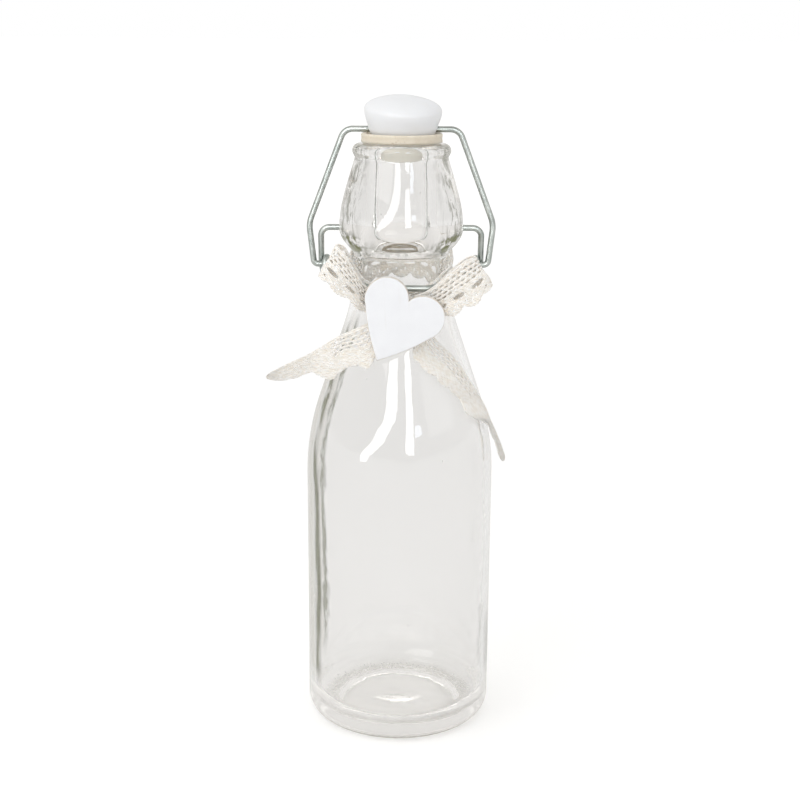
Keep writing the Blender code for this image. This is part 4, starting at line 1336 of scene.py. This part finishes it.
def floor():
    """White paper that keeps the bottle's shadow, and looks a little brighter to the camera."""
    p = Paint("paper")
    rays = p.rays()
    away = p.vector("LENGTH", p.place())
    far = p.remap(away, 0.3, 1.6)
    # painted light: a glowing pool on the paper under the bottle, seen only through the glass,
    # standing in for light the glass lets through
    under = p.remap(away, 0.030, 0.018, 0.0, UNDER_LIFT)
    seen = p.product(p.math("MULTIPLY_ADD", far, 0.15, 0.20), rays["Is Camera Ray"])
    through = p.product(p.math("MULTIPLY_ADD", far, 0.07, under), rays["Is Transmission Ray"])
    shiny = p.product(far, rays["Is Glossy Ray"], 0.14)
    lift = p.math("ADD", p.math("ADD", seen, through), shiny)
    p.set(color=(0.885, 0.874, 0.857), roughness=0.9, specular=0.1, emission_color=(1, 1, 1),
          emission_strength=lift)
    reach, low = 60.0, -0.00005
    corners = [(x * reach, y * reach, low) for x, y in ((-1, -1), (1, -1), (1, 1), (-1, 1))]
    obj = new_object("floor", new_mesh("floor", corners, [(0, 1, 2, 3)]))
    obj.data.materials.append(p.material)


def surroundings():
    """White to the camera; a soft gradient from the windows' side to everything else."""
    world = bpy.data.worlds.new("studio")
    bpy.context.scene.world = world
    world.use_nodes = True
    world.node_tree.nodes.clear()
    p = Nodes(world.node_tree)
    rays = p.rays()
    direction = p.coords("Generated")
    slope = p.vector("DOT_PRODUCT", direction, (-0.55, -0.50, 0.15))
    backward = p.vector("DOT_PRODUCT", direction, (0.0, 1.0, 0.0))
    light = p.add("Background", (0.985, 0.992, 1.0), p.math("MULTIPLY_ADD", slope, 0.34, FILL_LEVEL))
    mirrored_world = p.add("Background", (1.0, 0.984, 0.962),
                           p.math("MULTIPLY_ADD", backward, 0.20, 0.715))
    white = p.add("Background", (1, 1, 1), 1.0)
    either = p.math("MAXIMUM", rays["Is Glossy Ray"], rays["Is Transmission Ray"])
    mixed = p.add("MixShader", either, light, mirrored_world)
    mixed = p.add("MixShader", rays["Is Camera Ray"], mixed, white)
    p.put(p.tree.nodes.new("ShaderNodeOutputWorld").inputs["Surface"], mixed)


def studio():
    floor()
    surroundings()
    bright = emitter("window", (0.97, 0.98, 1.0), 8.0)
    blue = emitter("window_blue", (0.80, 0.88, 1.0), 7.0)
    window("window_left", [(-14, 32), (-25, 16), (-36, 8), (-48, -1), (-54, -7)],
           [(-2, 32), (-6, 18), (-22, 6), (-38, -1), (-48, -7)], bright)
    window("window_right", [(8, 30), (8, 2)], [(18, 30), (18, 2)], bright)
    window("window_hook_high", [(20, 31), (20, 27)], [(27, 31), (27, 27)], blue)
    window("window_hook_low", [(20, 15), (20, 10)], [(28, 15), (28, 10)], blue)
    for name, at, size, energy in (
        ("key", (-0.55, -0.65, 0.85), 0.7, 3.0),
        ("fill", (0.75, -0.45, 0.60), 0.8, 1.0),
    ):
        light = bpy.data.lights.new(name, "AREA")
        light.shape = "SQUARE"
        light.size = size
        light.energy = energy
        lamp = new_object(name, light)
        lamp.location = at
        aim = Vector((AXIS_OFFSET, 0, 0.10)) - Vector(at)
        lamp.rotation_euler = aim.to_track_quat("-Z", "Y").to_euler()
        lamp.visible_camera = False


def camera():
    data = bpy.data.cameras.new("camera")
    data.lens = LENS
    data.sensor_width = 36.0
    obj = new_object("camera", data)
    turn = Matrix.Rotation(CAMERA_PITCH, 4, "X") @ Matrix.Rotation(CAMERA_ROLL, 4, "Z")
    obj.matrix_world = Matrix.Translation(CAMERA_AT) @ turn
    bpy.context.scene.camera = obj


LACE = ivory_lace()
camera()
studio()
bottle()
wires()
cap()
washer()
ribbon()
heart()
glue()
bpy.context.scene.view_settings.view_transform = "Standard"
